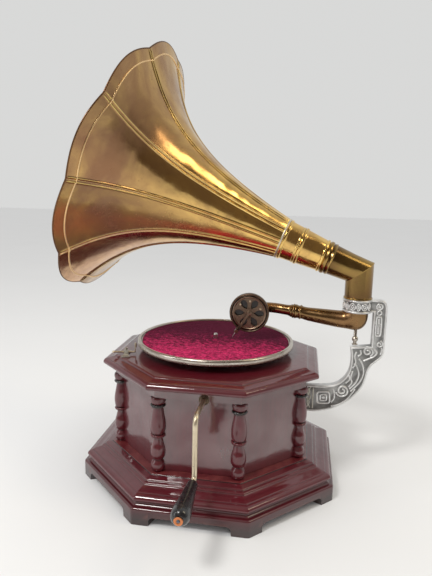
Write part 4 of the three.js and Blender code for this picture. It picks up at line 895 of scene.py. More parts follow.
class GRAMOPHONE_OT_platter(bpy.types.Operator):
    """Pressed platter turned from one profile: hub, web, dished bed and a rolled plated rim"""

    bl_idname = "gramophone.platter"
    bl_label = "Platter"

    def execute(self, context):
        rim = (PLATTER_HIGH[0] - PLATTER_LOW[0]) / 2 / MM
        place = node_middle("platter") * [1, 1, 0]
        top, hub = PLATTER_HIGH[2] / MM, PLATTER_LOW[2] / MM
        bottom, bed = top - 9.6, top - 3.6
        profile = chain(
            [[3.9, bed], [3.9, hub], [11.4, hub], [12, hub + 0.6], [12, bed - 4], [rim - 5, bed - 4]],
            [[rim - 4.6, bottom + 0.3], [rim - 4.0, bottom]],
            bezier([rim - 2.4, bottom], [rim - 0.4, bottom + 0.6], [rim, bottom + 2.4], [rim, bottom + 4.4], 9),
            bezier([rim, bottom + 5.2], [rim, top - 1.6], [rim - 1.2, top], [rim - 3.0, top], 9),
            bezier([rim - 3.0, top], [rim - 4.8, top], [rim - 5.4, top - 0.8], [rim - 5.8, bed + 0.3], 7),
            [[rim - 6.3, bed], [3.9, bed]],
        ) * MM
        make_piece("rimmed_platter", [patch(turned_grid(profile, place, sides=144), True)],
                   "nickel", "turntable", ("platter",))
        return {"FINISHED"}


class GRAMOPHONE_OT_velvet(bpy.types.Operator):
    """Velvet disc laid on the platter: its top is ruffled by the product of two sines, between 0.86
    and 1.0 of the cloth's thickness, and falls at the rim, whose radius wavers as a cut edge does"""

    bl_idname = "gramophone.velvet"
    bl_label = "Velvet"

    def execute(self, context):
        look = settings("turntable")
        place = node_middle("platter_felt") * [1, 1, 0]
        bottom = node_box("platter_felt")[0][2]
        thick = look.felt_thickness
        hole = 0.0039
        around, out = 240, 60
        angle = round_angles(around)
        edge = look.felt_radius - 0.0006 * (1 + np.sin(7 * angle) * np.sin(3 * angle + 1))
        spread = np.linspace(0, 1, out)[:, None]
        radius = hole + (edge - hole)[None] * spread
        ruffle = np.sin(radius * 310 + 2 * np.sin(3 * angle)) * np.sin(9 * angle + radius * 90)
        fall = np.clip((1 - spread) / 0.03, 0, 1)
        top = bottom + thick * (0.72 + 0.28 * fall * (0.75 + 0.25 * ruffle))
        ring = lambda r, z: np.stack(
            [place[0] + r * np.cos(angle), place[1] + r * np.sin(angle), np.broadcast_to(z, r.shape)], -1)
        upper, lower = ring(radius, top), ring(radius[[0, -1]], bottom)
        grid = np.concatenate([lower[:1], upper, lower[1:], lower[:1]])
        piece = make_piece("velvet_disc", [patch(grid, True)], "velvet", "turntable",
                           ("platter_felt",), crease=60)
        return {"FINISHED"}


# ---------------------------------------------------------------------------
# Crank
# ---------------------------------------------------------------------------

# Line of the crank's shaft, how far it reaches before the knee, and the drop of its arm.
CRANK_X, CRANK_Z = 9.3, 171.6
CRANK_REACH, CRANK_ARM = 211.0, 85.5
# Distances in front of the cabinet's axis: inner end of the rod, end of the pinion, riveted end.
CRANK_INNER, PINION_END, CRANK_OUTER = 85.27, 86.4, 303.0


def corner_run(before, corner, after, bend, count=10):
    """Quarter of a circle that rounds a right-angled corner of a path."""
    before, corner, after = (np.asarray(p, float) for p in (before, corner, after))
    incoming, outgoing = unit(corner - before), unit(after - corner)
    angle = np.linspace(0, np.pi / 2, count)[:, None]
    return corner - bend * incoming + bend * (np.sin(angle) * incoming + (1 - np.cos(angle)) * outgoing)


def back_middle(node):
    """Middle of the back face of a node's box."""
    middle = node_middle(node)
    return np.array([middle[0], node_box(node)[1][1], middle[2]])


class GRAMOPHONE_OT_crank(bpy.types.Operator):
    """Crank rod: a round bar carried along a path with two rounded right angles, and the small
    winding pinion on its inner end, which is cut from a merged copy of the CAD node"""

    bl_idname = "gramophone.crank"
    bl_label = "Crank"

    def execute(self, context):
        grip_z = CRANK_Z - CRANK_ARM
        start = [CRANK_X, -CRANK_INNER, CRANK_Z]
        knee = [CRANK_X, -CRANK_REACH, CRANK_Z]
        heel = [CRANK_X, -CRANK_REACH, grip_z]
        end = [CRANK_X, -CRANK_OUTER, grip_z]
        path = chain(
            [start, [CRANK_X, -150, CRANK_Z]], corner_run(start, knee, heel, 12), corner_run(knee, heel, end, 8),
            [[CRANK_X, -260, grip_z], end])
        rod = patch(tube_grid(to_row(path), np.full(len(path), 3.5) * MM, 24, [1, 0, 0]), True, "first last")
        make_piece("bent_crank", [rod], "cream_nickel", "crank")

        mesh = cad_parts["crank_rod"].data.copy()
        mesh.name = "winding_pinion"
        inner = merged(mesh)
        cut = bmesh.ops.bisect_plane(
            inner, geom=inner.verts[:] + inner.edges[:] + inner.faces[:], dist=1e-7,
            plane_co=to_row([0, -PINION_END, 0]), plane_no=(0, 1, 0), clear_inner=True)
        rim = [part for part in cut["geom_cut"] if isinstance(part, bmesh.types.BMEdge)]
        bmesh.ops.contextual_create(inner, geom=rim)
        inner.to_mesh(mesh)
        inner.free()
        finish_piece("winding_pinion", mesh, "steel", "crank", ("crank_rod",))

        rivet = np.array([[0, 2.3], [1.0, 2.2], [1.9, 1.7], [2.1, 1.3], [1.9, 1.1], [1.9, -1], [0, -1]]) * MM
        make_piece("crank_rivet", [patch(turned_grid(rivet, to_row(end), [0, -1, 0], 20), True)],
                   "spring_steel", "crank")
        return {"FINISHED"}


class GRAMOPHONE_OT_grip(bpy.types.Operator):
    """Turned black grip with its copper washer: slim root, long belly, round nose"""

    bl_idname = "gramophone.grip"
    bl_label = "Crank grip"

    def execute(self, context):
        low, high = node_box("crank_grip")
        place = back_middle("crank_grip")
        long = (high[1] - low[1]) / MM
        bore = 3.9
        outline = spline([
            [7.0, 2.0], [7.3, 6], [7.9, 16], [8.7, 26], [9.8, 38], [11.0, 50], [11.9, 60], [12.1, 66],
            [11.6, 72], [9.9, 76.2], [7.5, 78.6], [6.4, 79.2],
        ], 60) * [1, long / 79.7]
        profile = chain([[bore, 0], [5.6, 0]], bezier([5.6, 0], [6.6, 0], [7.0, 0.6], [7.0, 1.8], 4), outline,
                        [[6.2, long], [bore, long], [bore, 0]]) * MM
        make_piece("black_grip", [patch(turned_grid(profile, place, [0, -1, 0], 48), True, grain="along")],
                   "ebonised", "crank_grip", ("crank_grip",))
        place = back_middle("grip_washer")
        ring = np.array([[2.3, 0], [5.2, 0], [5.6, 0.3], [5.6, 0.9], [5.2, 1.2], [2.9, 1.2], [2.3, 0.8], [2.3, 0]]) * MM
        make_piece("copper_washer", [patch(turned_grid(ring, place, [0, -1, 0], 36), True)],
                   "copper", "crank", ("grip_washer",))
        return {"FINISHED"}


class GRAMOPHONE_OT_escutcheon(bpy.types.Operator):
    """Small dark brass rose round the crank's hole, with a beaded rim and three pins"""

    bl_idname = "gramophone.escutcheon"
    bl_label = "Escutcheon"

    def execute(self, context):
        place = back_middle("crank_escutcheon")
        rose = chain([[3.9, 0], [7.3, 0]], bezier([7.4, 0], [7.8, 0.2], [7.6, 1.1], [6.7, 1.0], 5),
                     bezier([6.3, 0.8], [5.8, 1.7], [4.9, 2.1], [4.2, 2.0], 6), [[3.9, 1.8], [3.9, 0]]) * MM
        patches = [patch(turned_grid(rose, place, [0, -1, 0], 40), True)]
        pin = np.array([[0, 1.5], [0.5, 1.4], [0.8, 1.1], [0.8, 0.5], [0, 0.5]]) * MM
        for turn in (90, 210, 330):
            spot = place + 6.2 * MM * np.array([np.cos(np.radians(turn)), 0, np.sin(np.radians(turn))])
            patches.append(patch(turned_grid(pin, spot, [0, -1, 0], 12), True))
        make_piece("crank_rose", patches, "bronze", "cabinet", ("crank_escutcheon",))
        return {"FINISHED"}


# ---------------------------------------------------------------------------
# Brake
# ---------------------------------------------------------------------------


class GRAMOPHONE_OT_brake(bpy.types.Operator):
    """Brake: butterfly plate, sliding rod and leather pad, as merged copies with soft edges"""

    bl_idname = "gramophone.brake"
    bl_label = "Brake"

    def execute(self, context):
        soft = settings("cabinet").edge_rounding * 0.5
        copy_node("brake_butterfly", "brake_plate", "silver_nickel", "cabinet", bevel=soft)
        copy_node("brake_slider", "brake_rod", "cream_nickel", "brake_slide", crease=45)
        copy_node("brake_cushion", "brake_pad", "leather", "brake_slide", bevel=soft)
        return {"FINISHED"}


# ---------------------------------------------------------------------------
# Motor
# ---------------------------------------------------------------------------


class GRAMOPHONE_OT_motor(bpy.types.Operator):
    """Finishes of the turntable shaft, of the spring motor under the deck, and of the needle and the
    diaphragm, which are the CAD nodes themselves"""

    bl_idname = "gramophone.motor"
    bl_label = "Motor"

    def execute(self, context):
        looks = {
            "motor_bedplate": "motor_steel", "motor_lower_plate": "motor_steel", "spring_barrel": "gear_brass",
            "mainspring": "spring_steel", "winding_arbor": "steel", "second_wheel": "gear_brass",
            "governor_spindle": "steel", "governor_weights": "gear_brass", "platter_spindle": "steel",
            "needle": "steel", "diaphragm": "mica",
        }
        for node, look in looks.items():
            dress(node, look)
        return {"FINISHED"}


# ---------------------------------------------------------------------------
# Bracket
# ---------------------------------------------------------------------------


# Upright axis on which the tone arm and the horn turn.
PIVOT_X = 223.0
BRACKET_ROOT = BOARD_FACE + SEAT
# Height of the relief for which the widths of the ornament's lines are given.
DRAWN_RELIEF = 0.0011


def bracket_outline():
    """Side view of the bracket as (x, z) cabinet millimetres, anticlockwise from its lower root."""
    return chain(
        [[BRACKET_ROOT, 108], [152, 108]], bezier([162, 108], [198, 110], [228, 132], [240, 158], 26),
        bezier([240, 158], [245, 170], [244, 184], [252, 193], 12),
        bezier([252, 193], [260, 201], [268, 204], [268.5, 217], 12), [[268.4, 250]],
        bezier([268.2, 282], [268, 291], [266, 297], [258, 297.5], 10), [[235, 297.5], [235, 278.3]],
        [[247.5, 277.3], [247.5, 250], [247.5, 224], [232, 222], [216, 220]],
        bezier([216, 220], [219, 208], [219, 198], [218, 189], 10),
        bezier([218, 189], [216, 168], [200, 156], [189, 154.5], 16),
        bezier([189, 154.5], [178, 152], [168, 152], [152, 152], 8), [[BRACKET_ROOT, 152]],
    )


def inset(outline, depth):
    """A closed outline moved inwards: each point goes along the mean of its two edges' normals,
    further at a corner so that the edges keep their distance."""
    step = np.roll(outline, -1, 0) - outline
    normal = unit(np.stack([-step[:, 1], step[:, 0]], 1))
    bisector = unit(normal + np.roll(normal, 1, 0))
    lean = np.maximum((bisector * normal).sum(1), 0.6)[:, None]
    return outline + bisector * depth / lean


def raised_line(points, level, radius, side):
    """A cast line lying on the bracket's face: a small round bar half sunk in the field."""
    points = np.asarray(points, float)
    path = np.stack([points[:, 0], np.full(len(points), side * level), points[:, 1]], 1)
    return patch(tube_grid(to_row(path), radius * MM, 8, [0, 1, 0]), True, "first last")


def spiral(middle, radius, turns, start, hand=1, count=44):
    """A scroll: its radius falls evenly with the angle, from the full radius to 0.22 of it."""
    t = np.linspace(0, 1, count)
    angle = np.radians(start) + hand * t * turns * 2 * np.pi
    r = radius * (1 - 0.78 * t)
    return np.stack([middle[0] + r * np.cos(angle), middle[1] + r * np.sin(angle)], 1)


def frame_line(x, z, half_x, half_z, turn=0.0, count=56):
    """A closed rounded rectangle, turned about its middle: the superellipse of the fifth power."""
    angle = np.linspace(0, 2 * np.pi, count) + 0.02
    curve = lambda wave: np.sign(wave) * np.abs(wave) ** 0.4
    points = np.stack([half_x * curve(np.cos(angle)), half_z * curve(np.sin(angle))], 1)
    c, s = np.cos(turn), np.sin(turn)
    return points @ np.array([[c, s], [-s, c]]) + [x, z]


def ornament_lines():
    """The cast ornament of the bracket's side, from its root to the collar."""
    return [
        (frame_line(179, 133, 10.0, 9.8, 0.08), 1.0), (frame_line(179, 133, 5.0, 4.9, 0.08), 1.05),
        (frame_line(179, 133, 1.3, 1.2, 0.08, 20), 1.0),
        (spiral((208.0, 147.0), 10.4, 1.7, 200), 1.15), (spiral((243.4, 214.4), 8.2, 1.5, -60), 1.05),
        (spiral((260.2, 227.6), 5.4, 1.35, 80, -1), 0.9),
        (frame_line(256.6, 256.0, 4.0, 15.2), 0.95), (frame_line(256.6, 256.0, 0.9, 12.0), 0.6),
        (arc((256.5, 277.4), 3.2, 0, 380, 22), 0.8), (arc((256.2, 287.2), 4.4, 0, 380, 26), 0.9),
        (arc((256.2, 287.2), 1.4, 0, 380, 12), 0.8),
        (spline([[192, 119], [205, 124], [217, 134], [228, 151]], 22), 0.8),
        (spline([[192, 126], [196, 133], [196, 141], [194, 148]], 12), 0.85),
        (spline([[217.5, 154], [222, 162], [220, 170], [222, 181]], 16), 0.9),
        (spline([[219, 151], [228, 162], [232, 176], [228, 189], [224, 193]], 20), 1.0),
        (spline([[221, 147], [234, 163], [239, 178], [237, 192], [231, 202]], 22), 0.9),
        (spline([[222, 186], [226, 195], [224, 205], [226, 213]], 16), 0.85),
        (spline([[213, 160], [218, 166], [217, 174]], 10), 0.8),
        (spline([[238, 199], [246, 203], [253, 207], [257, 213], [254, 219]], 18), 0.9),
        (spline([[262.5, 211], [264.4, 218], [263.4, 222]], 8), 0.8),
        (spline([[229, 206], [233, 210], [232, 216]], 8), 0.8),
    ]


class GRAMOPHONE_OT_bracket(bpy.types.Operator):
    """Cast bracket: its outline carried through the thickness with rounded rims and a sunk field,
    a collar with a chain of rings and lozenges, and cast lines of scrolls, keys and leaves"""

    bl_idname = "gramophone.bracket"
    bl_label = "Cast bracket"

    def execute(self, context):
        look = settings("casting")
        half = 7.0
        outline = bracket_outline()
        field = half - look.field_depth / MM
        rims = [(0, 0), (0, half - 1.6), (0.35, half - 0.6), (1.1, half), (2.3, half), (3.0, half - 0.5),
                (3.4, field + 0.3), (3.7, field)]
        rings = []
        for depth, y in [(d, -y) for d, y in rims[:0:-1]] + rims[1:]:
            ring = inset(outline, depth)
            rings.append(np.stack([ring[:, 0], np.full(len(ring), y), ring[:, 1]], 1))
        patches = [patch(to_row(np.array(rings)), True, "first last")]
        swell = look.relief / DRAWN_RELIEF
        for side in (-1, 1):
            for line, radius in ornament_lines():
                patches.append(raised_line(line, field + 0.1, radius * swell, side))

        pivot = to_row([PIVOT_X, 0, 0])
        low, high = 277.3, 298.0
        wall = chain(
            [[17.8, low], [21.0, low]], bezier([21.6, low], [23.3, low + 0.4], [23.3, low + 3.0], [21.9, low + 3.4], 7),
            [[21.5, low + 3.8], [21.5, high - 4.0]],
            bezier([21.9, high - 3.6], [23.4, high - 3.2], [23.4, high - 0.4], [21.6, high], 7),
            [[17.8, high], [17.8, low]]) * MM
        patches.append(patch(turned_grid(wall, pivot, sides=96), True))
        middle, face = (low + high) / 2, 21.5
        for spot in range(13):
            turn = np.radians(-265 + 25 * spot)
            if np.cos(turn) > 0.86:
                continue
            bend = np.linspace(0, 2 * np.pi * 1.04, 28)
            if spot % 2:
                wide, tall, inner_wide, inner_tall = 3.0, 5.6, 0.9, 2.2
                wave = lambda w: np.sign(w) * np.abs(w) ** 1.5
            else:
                wide, tall, inner_wide, inner_tall = 4.6, 4.9, 1.9, 2.0
                wave = lambda w: w
            for across, up, thick in ((wide, tall, 0.95), (inner_wide, inner_tall, 0.9)):
                angle = turn + across * wave(np.cos(bend)) / face
                ring = np.stack([PIVOT_X + face * np.cos(angle), face * np.sin(angle),
                                 middle + up * wave(np.sin(bend))], 1)
                outwards = unit([np.cos(turn), np.sin(turn), 0])
                patches.append(patch(tube_grid(to_row(ring), thick * MM, 8, outwards), True, "first last"))

        half_wide, half_tall, flange_z = 22.0, 27.0, 131.0
        steps = [(BRACKET_ROOT, 0.0), (145.6, 0.0), (146.8, 0.5), (147.5, 1.4)]
        flange = np.array([[[x, y * (half_wide - back), flange_z + z * (half_tall - back)]
                            for y, z in ((-1, -1), (1, -1), (1, 1), (-1, 1))] for x, back in steps])
        patches.append(patch(to_row(flange), True, "first last"))
        make_piece("scrolled_bracket", patches, "cast_metal", "cabinet", ("horn_bracket",),
                   crease=50)

        bars = []
        for side in (-1, 1):
            for line in (spline([[152.5, 114], [157, 123], [152.5, 132], [157, 141], [152.5, 149]], 24),
                         spline([[158.5, 114], [154, 123], [158.5, 132], [154, 141], [158.5, 149]], 24),
                         np.linspace([162.5, 113.5], [162.5, 148.5], 8)):
                bars.append(raised_line(line, field + 0.3, 1.2, side))
        make_piece("root_lattice", bars, "silver_nickel", "cabinet", crease=50)
        return {"FINISHED"}


def screw_patches(place, axis, radius, height):
    """Round-headed screw: the head's profile is a quarter of an ellipse over a short rim; its slot
    is the groove |across| < a fifth of the radius, pressed down over the whole dome."""
    t = np.linspace(0, np.pi / 2, 9)
    dome = np.stack([radius * np.cos(t), height * (0.3 + 0.7 * np.sin(t))], 1)
    grid = turned_grid(np.vstack([[radius * 0.9, -height * 0.2], [radius, 0], dome]), place, axis, 32)
    axis = unit(axis)
    helper = UP if abs(axis[2]) < 0.9 else np.array([1.0, 0, 0])
    across = (grid - place) @ unit(np.cross(helper, axis))
    high = (grid - place) @ axis
    groove = np.clip(1 - (np.abs(across) / (radius * 0.2)) ** 6, 0, 1)
    grid = grid - axis * (groove * np.maximum(high - height * 0.45, 0))[..., None]
    return [patch(grid, True, "first")]


class GRAMOPHONE_OT_screws(bpy.types.Operator):
    """Slotted screws of the bracket's flange"""

    bl_idname = "gramophone.screws"
    bl_label = "Bracket screws"

    def execute(self, context):
        patches = []
        for y in (-15, 15):
            for z in (110, 152):
                patches += screw_patches(to_row([147.5, y, z]), [1, 0, 0], 3.4 * MM, 2.0 * MM)
        make_piece("bracket_screws", patches, "steel", "cabinet", crease=50)
        return {"FINISHED"}


class GRAMOPHONE_OT_pivot(bpy.types.Operator):
    """Pivot screw under the tone arm: foot, slim rod, round ball and pointed pin"""

    bl_idname = "gramophone.pivot"
    bl_label = "Pivot screw"

    def execute(self, context):
        low, high = node_box("pivot_screw")
        place = np.array([*((low + high) / 2)[:2], low[2]])
        tall = (high[2] - low[2]) / MM
        ball, up = 4.9, 9.1
        tilt = np.radians(np.linspace(-56, 56, 15))
        sphere = np.stack([ball * np.cos(tilt), up + ball * np.sin(tilt)], 1)
        profile = chain(
            [[0, 0], [4.4, 0], [4.6, 0.5], [4.4, 1.4], [3.0, 2.2], [2.6, 3.2], [2.6, up - 4.3]], sphere,
            [[2.6, up + 4.3], [2.6, tall - 2.4], [1.2, tall], [0, tall]]) * MM
        make_piece("ball_pivot", [patch(turned_grid(profile, place, sides=32), True)], "nickel", "cabinet",
                   ("pivot_screw",))
        return {"FINISHED"}


# ---------------------------------------------------------------------------
# Tone arm and sound box
# ---------------------------------------------------------------------------

# Joint of the gooseneck with the arm, the way the arm points there, and middle of the sound box.
ARM_END = np.array([127.0, 8.0, 270.0])
ARM_WAY = unit([-0.992, 0.081, 0.095])
SOUNDBOX = np.array([54.5, 0.0, 265.5])


def soft_least(a, b, blend):
    """The lesser of two distances, with a rounded change from one to the other."""
    share_a = np.clip(0.5 + 0.5 * (b - a) / blend, 0, 1)
    return b * (1 - share_a) + a * share_a - blend * share_a * (1 - share_a)


def swept_skin(path, distance, sides, reference, reach):
    """Skin round a path: from each of its points rays go out square to it, and each ray ends where
    the distance function crosses nought, found by halving the reach again and again."""
    side, top = sides_of(path, reference)
    angle = round_angles(sides)[None, :, None]
    ray = np.cos(angle) * side[:, None] + np.sin(angle) * top[:, None]
    near, far = np.zeros(ray.shape[:2]), np.full(ray.shape[:2], float(reach))
    for _ in range(24):
        middle = (near + far) / 2
        inside = distance(path[:, None] + middle[..., None] * ray) < 0
        near, far = np.where(inside, middle, near), np.where(inside, far, middle)
    return path[:, None] + near[..., None] * ray


class GRAMOPHONE_OT_tone_arm(bpy.types.Operator):
    """Tone arm: an upright cup with a domed toe and a tapering tube, blended into one boot. The
    skin lies where the softened lesser of the distances to cup and tube is nought"""

    bl_idname = "gramophone.tone_arm"
    bl_label = "Tone arm"

    def execute(self, context):
        bottom = node_box("tone_arm")[0][2] / MM
        cup, dome, top, sides = 17.4, 24.5, 297.5, 72
        joint = ARM_END - 11 * ARM_WAY
        line = spline([[*joint, 10.2], [147, 6.3, 267, 10.7], [167, 4.6, 265.2, 12.0], [190, 2.8, 263.2, 13.3],
                       [206, 1.4, 262.5, 13.9], [217, 0.5, 262.9, 13.6], [222, 0.1, 263.6, 12.8]], 60)

        def distance(points):
            x, y, z = np.moveaxis(points, -1, 0)
            down = np.maximum(bottom + dome - z, 0) * cup / dome
            upright = np.sqrt((x - PIVOT_X) ** 2 + y**2 + down**2) - cup
            middle_y, middle_z, radius = (np.interp(x, line[:, 0], line[:, k]) for k in (1, 2, 3))
            beyond = np.maximum(x - line[-1, 0], 0)
            tube = np.sqrt((y - middle_y) ** 2 + (z - middle_z) ** 2 + beyond**2) - radius
            return soft_least(upright, tube, 8.0)

        fall = np.linspace(0, np.pi / 2, 26)[:, None]
        bend = np.hstack([200 + 23 * np.cos(fall), 1.9 * np.sin(fall) ** 2, 283 - 20.4 * np.sin(fall)])
        reach = line[(line[:, 0] < 198)][::-1, :3]
        path = chain([[PIVOT_X, 0, top], [PIVOT_X, 0, 293], [PIVOT_X, 0, 288]], bend, reach)
        skin = swept_skin(path, distance, sides, [0, 1, 0], 34.0)
        angle = round_angles(sides)
        ring = lambda z, r: np.stack([PIVOT_X + r * np.cos(angle), r * np.sin(angle), np.full(sides, z)], 1)
        socket = np.array([ring(283.6, 0.02), ring(283.6, 15.6), ring(top - 0.4, 15.6), ring(top, 16.0),
                           ring(top, cup - 0.5)])
        steps = np.array([(10.6, 10.5), (10.0, 11.3), (9.0, 11.6), (8.0, 11.2), (7.3, 10.4), (6.0, 10.2),
                          (4.0, 10.4), (2.6, 11.0), (1.6, 11.6), (0.8, 11.5), (0.3, 11.0), (0.15, 10.4)])
        tip = tube_grid(ARM_END - steps[:, :1] * ARM_WAY, steps[:, 1], sides, [0, 1, 0])
        grid = np.concatenate([socket, skin, tip])
        make_piece("brass_arm", [patch(to_row(grid), True, "first last")], "arm_brass", "tone_arm",
                   ("tone_arm",), crease=48)
        return {"FINISHED"}


class GRAMOPHONE_OT_neck(bpy.types.Operator):
    """Gooseneck: a tube along a cubic curve from the joint ring to the back of the sound box"""

    bl_idname = "gramophone.neck"
    bl_label = "Gooseneck"

    def execute(self, context):
        back = SOUNDBOX + [0, 7.3, 0]
        at = lambda distance: ARM_END + distance * ARM_WAY
        rings = [(0.15, 10.4), (0.5, 11.2), (1.4, 11.6), (2.6, 11.5), (3.5, 10.8), (4.2, 9.9), (5.2, 10.3), (6.4, 10.2),
                 (7.2, 9.4), (9.0, 8.8), (12.0, 8.3)]
        collar = np.array([at(distance) for distance, _ in rings])
        bend = bezier(at(20), at(40) + [0, 3, 0], back + [0, 30, 3], back + [0, 6, 0], 40)
        line = np.vstack([collar, bend, (back + [0, 2.5, 0])[None], back[None]])
        radii = np.r_[[radius for _, radius in rings], np.full(40, 8.2), 8.8, 9.0]
        patches = [patch(tube_grid(to_row(line), radii * MM, 40, UP), True, "first last")]
        make_piece("gooseneck", patches, "arm_brass", "soundbox", ("arm_neck",), crease=40)
        return {"FINISHED"}


class GRAMOPHONE_OT_soundbox(bpy.types.Operator):
    """Sound box: turned case with a raised rim, pierced front plate with its ring and hub, stylus
    bar with a thumbscrew at the needle, and bright screws"""

    bl_idname = "gramophone.soundbox"
    bl_label = "Sound box"

    def execute(self, context):
        front = np.array([0.0, -1.0, 0.0])
        place = to_row(SOUNDBOX)
        case = chain(
            [[5.4, -7]], bezier([24, -7], [29, -7], [31.2, -5.4], [31.6, -3.2], 7), [[31.6, -1.6], [32.0, -1.2]],
            [[32.0, 3.4]], bezier([32, 3.6], [32.2, 6.4], [30.6, 7.0], [29.6, 6.4], 8),
            bezier([29.4, 6.2], [29.0, 5.8], [28.8, 5.8], [28.6, 6.0], 4),
            [[28.5, 6.0], [28.5, 0], [24.5, 0], [22.5, -4], [5.4, -4], [5.4, -7]]) * MM
        make_piece("soundbox_shell", [patch(turned_grid(case, place, front, 96), True)], "bronze", "soundbox",
                   ("soundbox_case",), crease=30)
        copy_node("pierced_face", "soundbox_face", "bronze", "soundbox", bevel=0.0004)
        ring = np.array([[24.6, 5.0], [24.9, 6.1], [25.9, 6.7], [26.9, 6.3], [27.3, 5.0], [24.6, 5.0]]) * MM
        hub = np.array([[0, 7.2], [2.6, 7.0], [4.2, 6.4], [4.8, 5.0], [0, 5.0]]) * MM
        trim = [patch(turned_grid(ring, place, front, 96), True), patch(turned_grid(hub, place, front, 32), True)]
        make_piece("face_ring", trim, "light_bronze", "soundbox")
        patches = []
        for turn in (137, 87, 23):
            spot = place + 19.5 * MM * np.array([np.cos(np.radians(turn)), 0, np.sin(np.radians(turn))])
            patches += screw_patches(spot + front * 5.7 * MM, front, 1.7 * MM, 1.2 * MM)
        make_piece("soundbox_screws", patches, "cream_nickel", "soundbox", crease=50)
        copy_node("stylus_lever", "stylus_bar", "bronze", "soundbox", bevel=0.0004)
        return {"FINISHED"}


# ---------------------------------------------------------------------------
# Horn
# ---------------------------------------------------------------------------

# Bend of the elbow, and the way the horn's axis leaves it: rise, and turn towards the front.
HORN_START = np.array([PIVOT_X, 0.0, 340.0])
HORN_RISE, HORN_TURN = np.radians(21.0), np.radians(4.15)
HORN_WAY = np.array([
    -np.cos(HORN_RISE) * np.cos(HORN_TURN), np.cos(HORN_RISE) * np.sin(HORN_TURN), np.sin(HORN_RISE)])
HORN_SIDE = unit(np.cross(HORN_WAY, UP))
HORN_TOP = np.cross(HORN_SIDE, HORN_WAY)
# Distances along the horn's axis from the bend.
ELBOW_END, THROAT_END, BELL_END = 58.0, 128.0, 407.0
RING_AT = 399.5
# Stretch of the axis over which the lip colour gathers: tarnish and painted reflection.
LIP_TARNISH_AND_REFLECTION_RUN = (150.0, 360.0)
THROAT_RADII = (24.6, 31.0)
BELL_GROWTH, LIP_GROWTH, LIP_POWER = 0.0055, 55.2, 6.5
PETALS, PETAL_PHASE, PETAL_LOBE = 10, 1.3443, 3.3
# Petals painted unlike the others: petal 4 darker, as painted reflection of the dark cabinet and room, and petal 5
# pinker, as painted reflection of the floor.
PETALS_WITH_PAINTED_REFLECTION = {4: "shaded_brass", 5: "rosy_brass"}


def round_horn(along, radius, angle):
    """Cabinet millimetres of places given along, out from and round the horn's axis."""
    along, radius, angle = np.broadcast_arrays(along, radius, angle)
    return (HORN_START + along[..., None] * HORN_WAY
            + (radius * np.cos(angle))[..., None] * HORN_SIDE + (radius * np.sin(angle))[..., None] * HORN_TOP)


def bell_curve(along):
    """Radius and slope of the bell: slow exponential growth along the axis, plus a power of the
    share of the length that rolls the lip outwards."""
    run = along - THROAT_END
    share_run = np.maximum(run / (BELL_END - THROAT_END), 1e-6)
    trunk, lip = THROAT_RADII[1] * np.exp(BELL_GROWTH * run), LIP_GROWTH * share_run**LIP_POWER
    return trunk + lip, BELL_GROWTH * trunk + LIP_POWER * lip / (share_run * (BELL_END - THROAT_END))


class GRAMOPHONE_OT_elbow(bpy.types.Operator):
    """Elbow: two tubes meeting in the plane that halves the bend, with a soldered mitre bead"""

    bl_idname = "gramophone.elbow"
    bl_label = "Elbow"

    def execute(self, context):
        sides = 72
        angle = round_angles(sides)
        low = 298.3
        level = lambda z, r: np.stack([PIVOT_X + r * np.sin(angle), -r * np.cos(angle), np.full(sides, z)], 1)
        normal = unit(UP + HORN_WAY)
        axis = unit(np.cross(UP, HORN_WAY))
        cosine = HORN_WAY[2]
        sine = np.sqrt(1 - cosine**2)

        def mitre(r, shift=0.0):
            ring = level(0.0, r)
            ring[:, 2] = HORN_START[2] - ((ring - HORN_START) * [1, 1, 0]) @ normal / normal[2] + shift
            return ring

        def slanted(along, r):
            flat = level(HORN_START[2], r) - HORN_START
            turned = flat * cosine + np.cross(axis, flat) * sine + np.outer(flat @ axis, axis) * (1 - cosine)
            return HORN_START + along * HORN_WAY + turned

        def cone(along):
            return 20.7 + (THROAT_RADII[0] - 20.7) * along / ELBOW_END

        def ringed(back, rise):
            return slanted(ELBOW_END - back, cone(ELBOW_END) + rise)

        tail, bore, wall, straight = low - 13.5, 13.7, 1.5, 16.0
        rings = [level(tail, bore), level(tail, 15.2), level(low, 15.2), level(low, 21.4), level(low + 0.8, 22.1),
                 level(low + 2.2, 21.6), level(low + 2.9, 20.8), mitre(20.75, -1.8), mitre(21.1, -1.0), mitre(21.3),
                 slanted(straight, cone(straight)), slanted(ELBOW_END - 13, cone(ELBOW_END - 13)),
                 ringed(12, 0.3), ringed(11, 0.9), ringed(10, 0.3), slanted(ELBOW_END - 7, cone(ELBOW_END - 7)),
                 ringed(5.6, 1.3), ringed(3.4, 1.7), ringed(1.2, 1.1), ringed(0, 0), ringed(0, -wall),
                 slanted(straight, cone(straight) - wall), mitre(19.2), level(low + 3, 19.2), level(low + 2, bore),
                 level(tail, bore)]
        make_piece("mitred_elbow", [patch(to_row(np.array(rings)), True)], "elbow_brass", "horn",
                   ("horn_elbow",), crease=24)
        return {"FINISHED"}


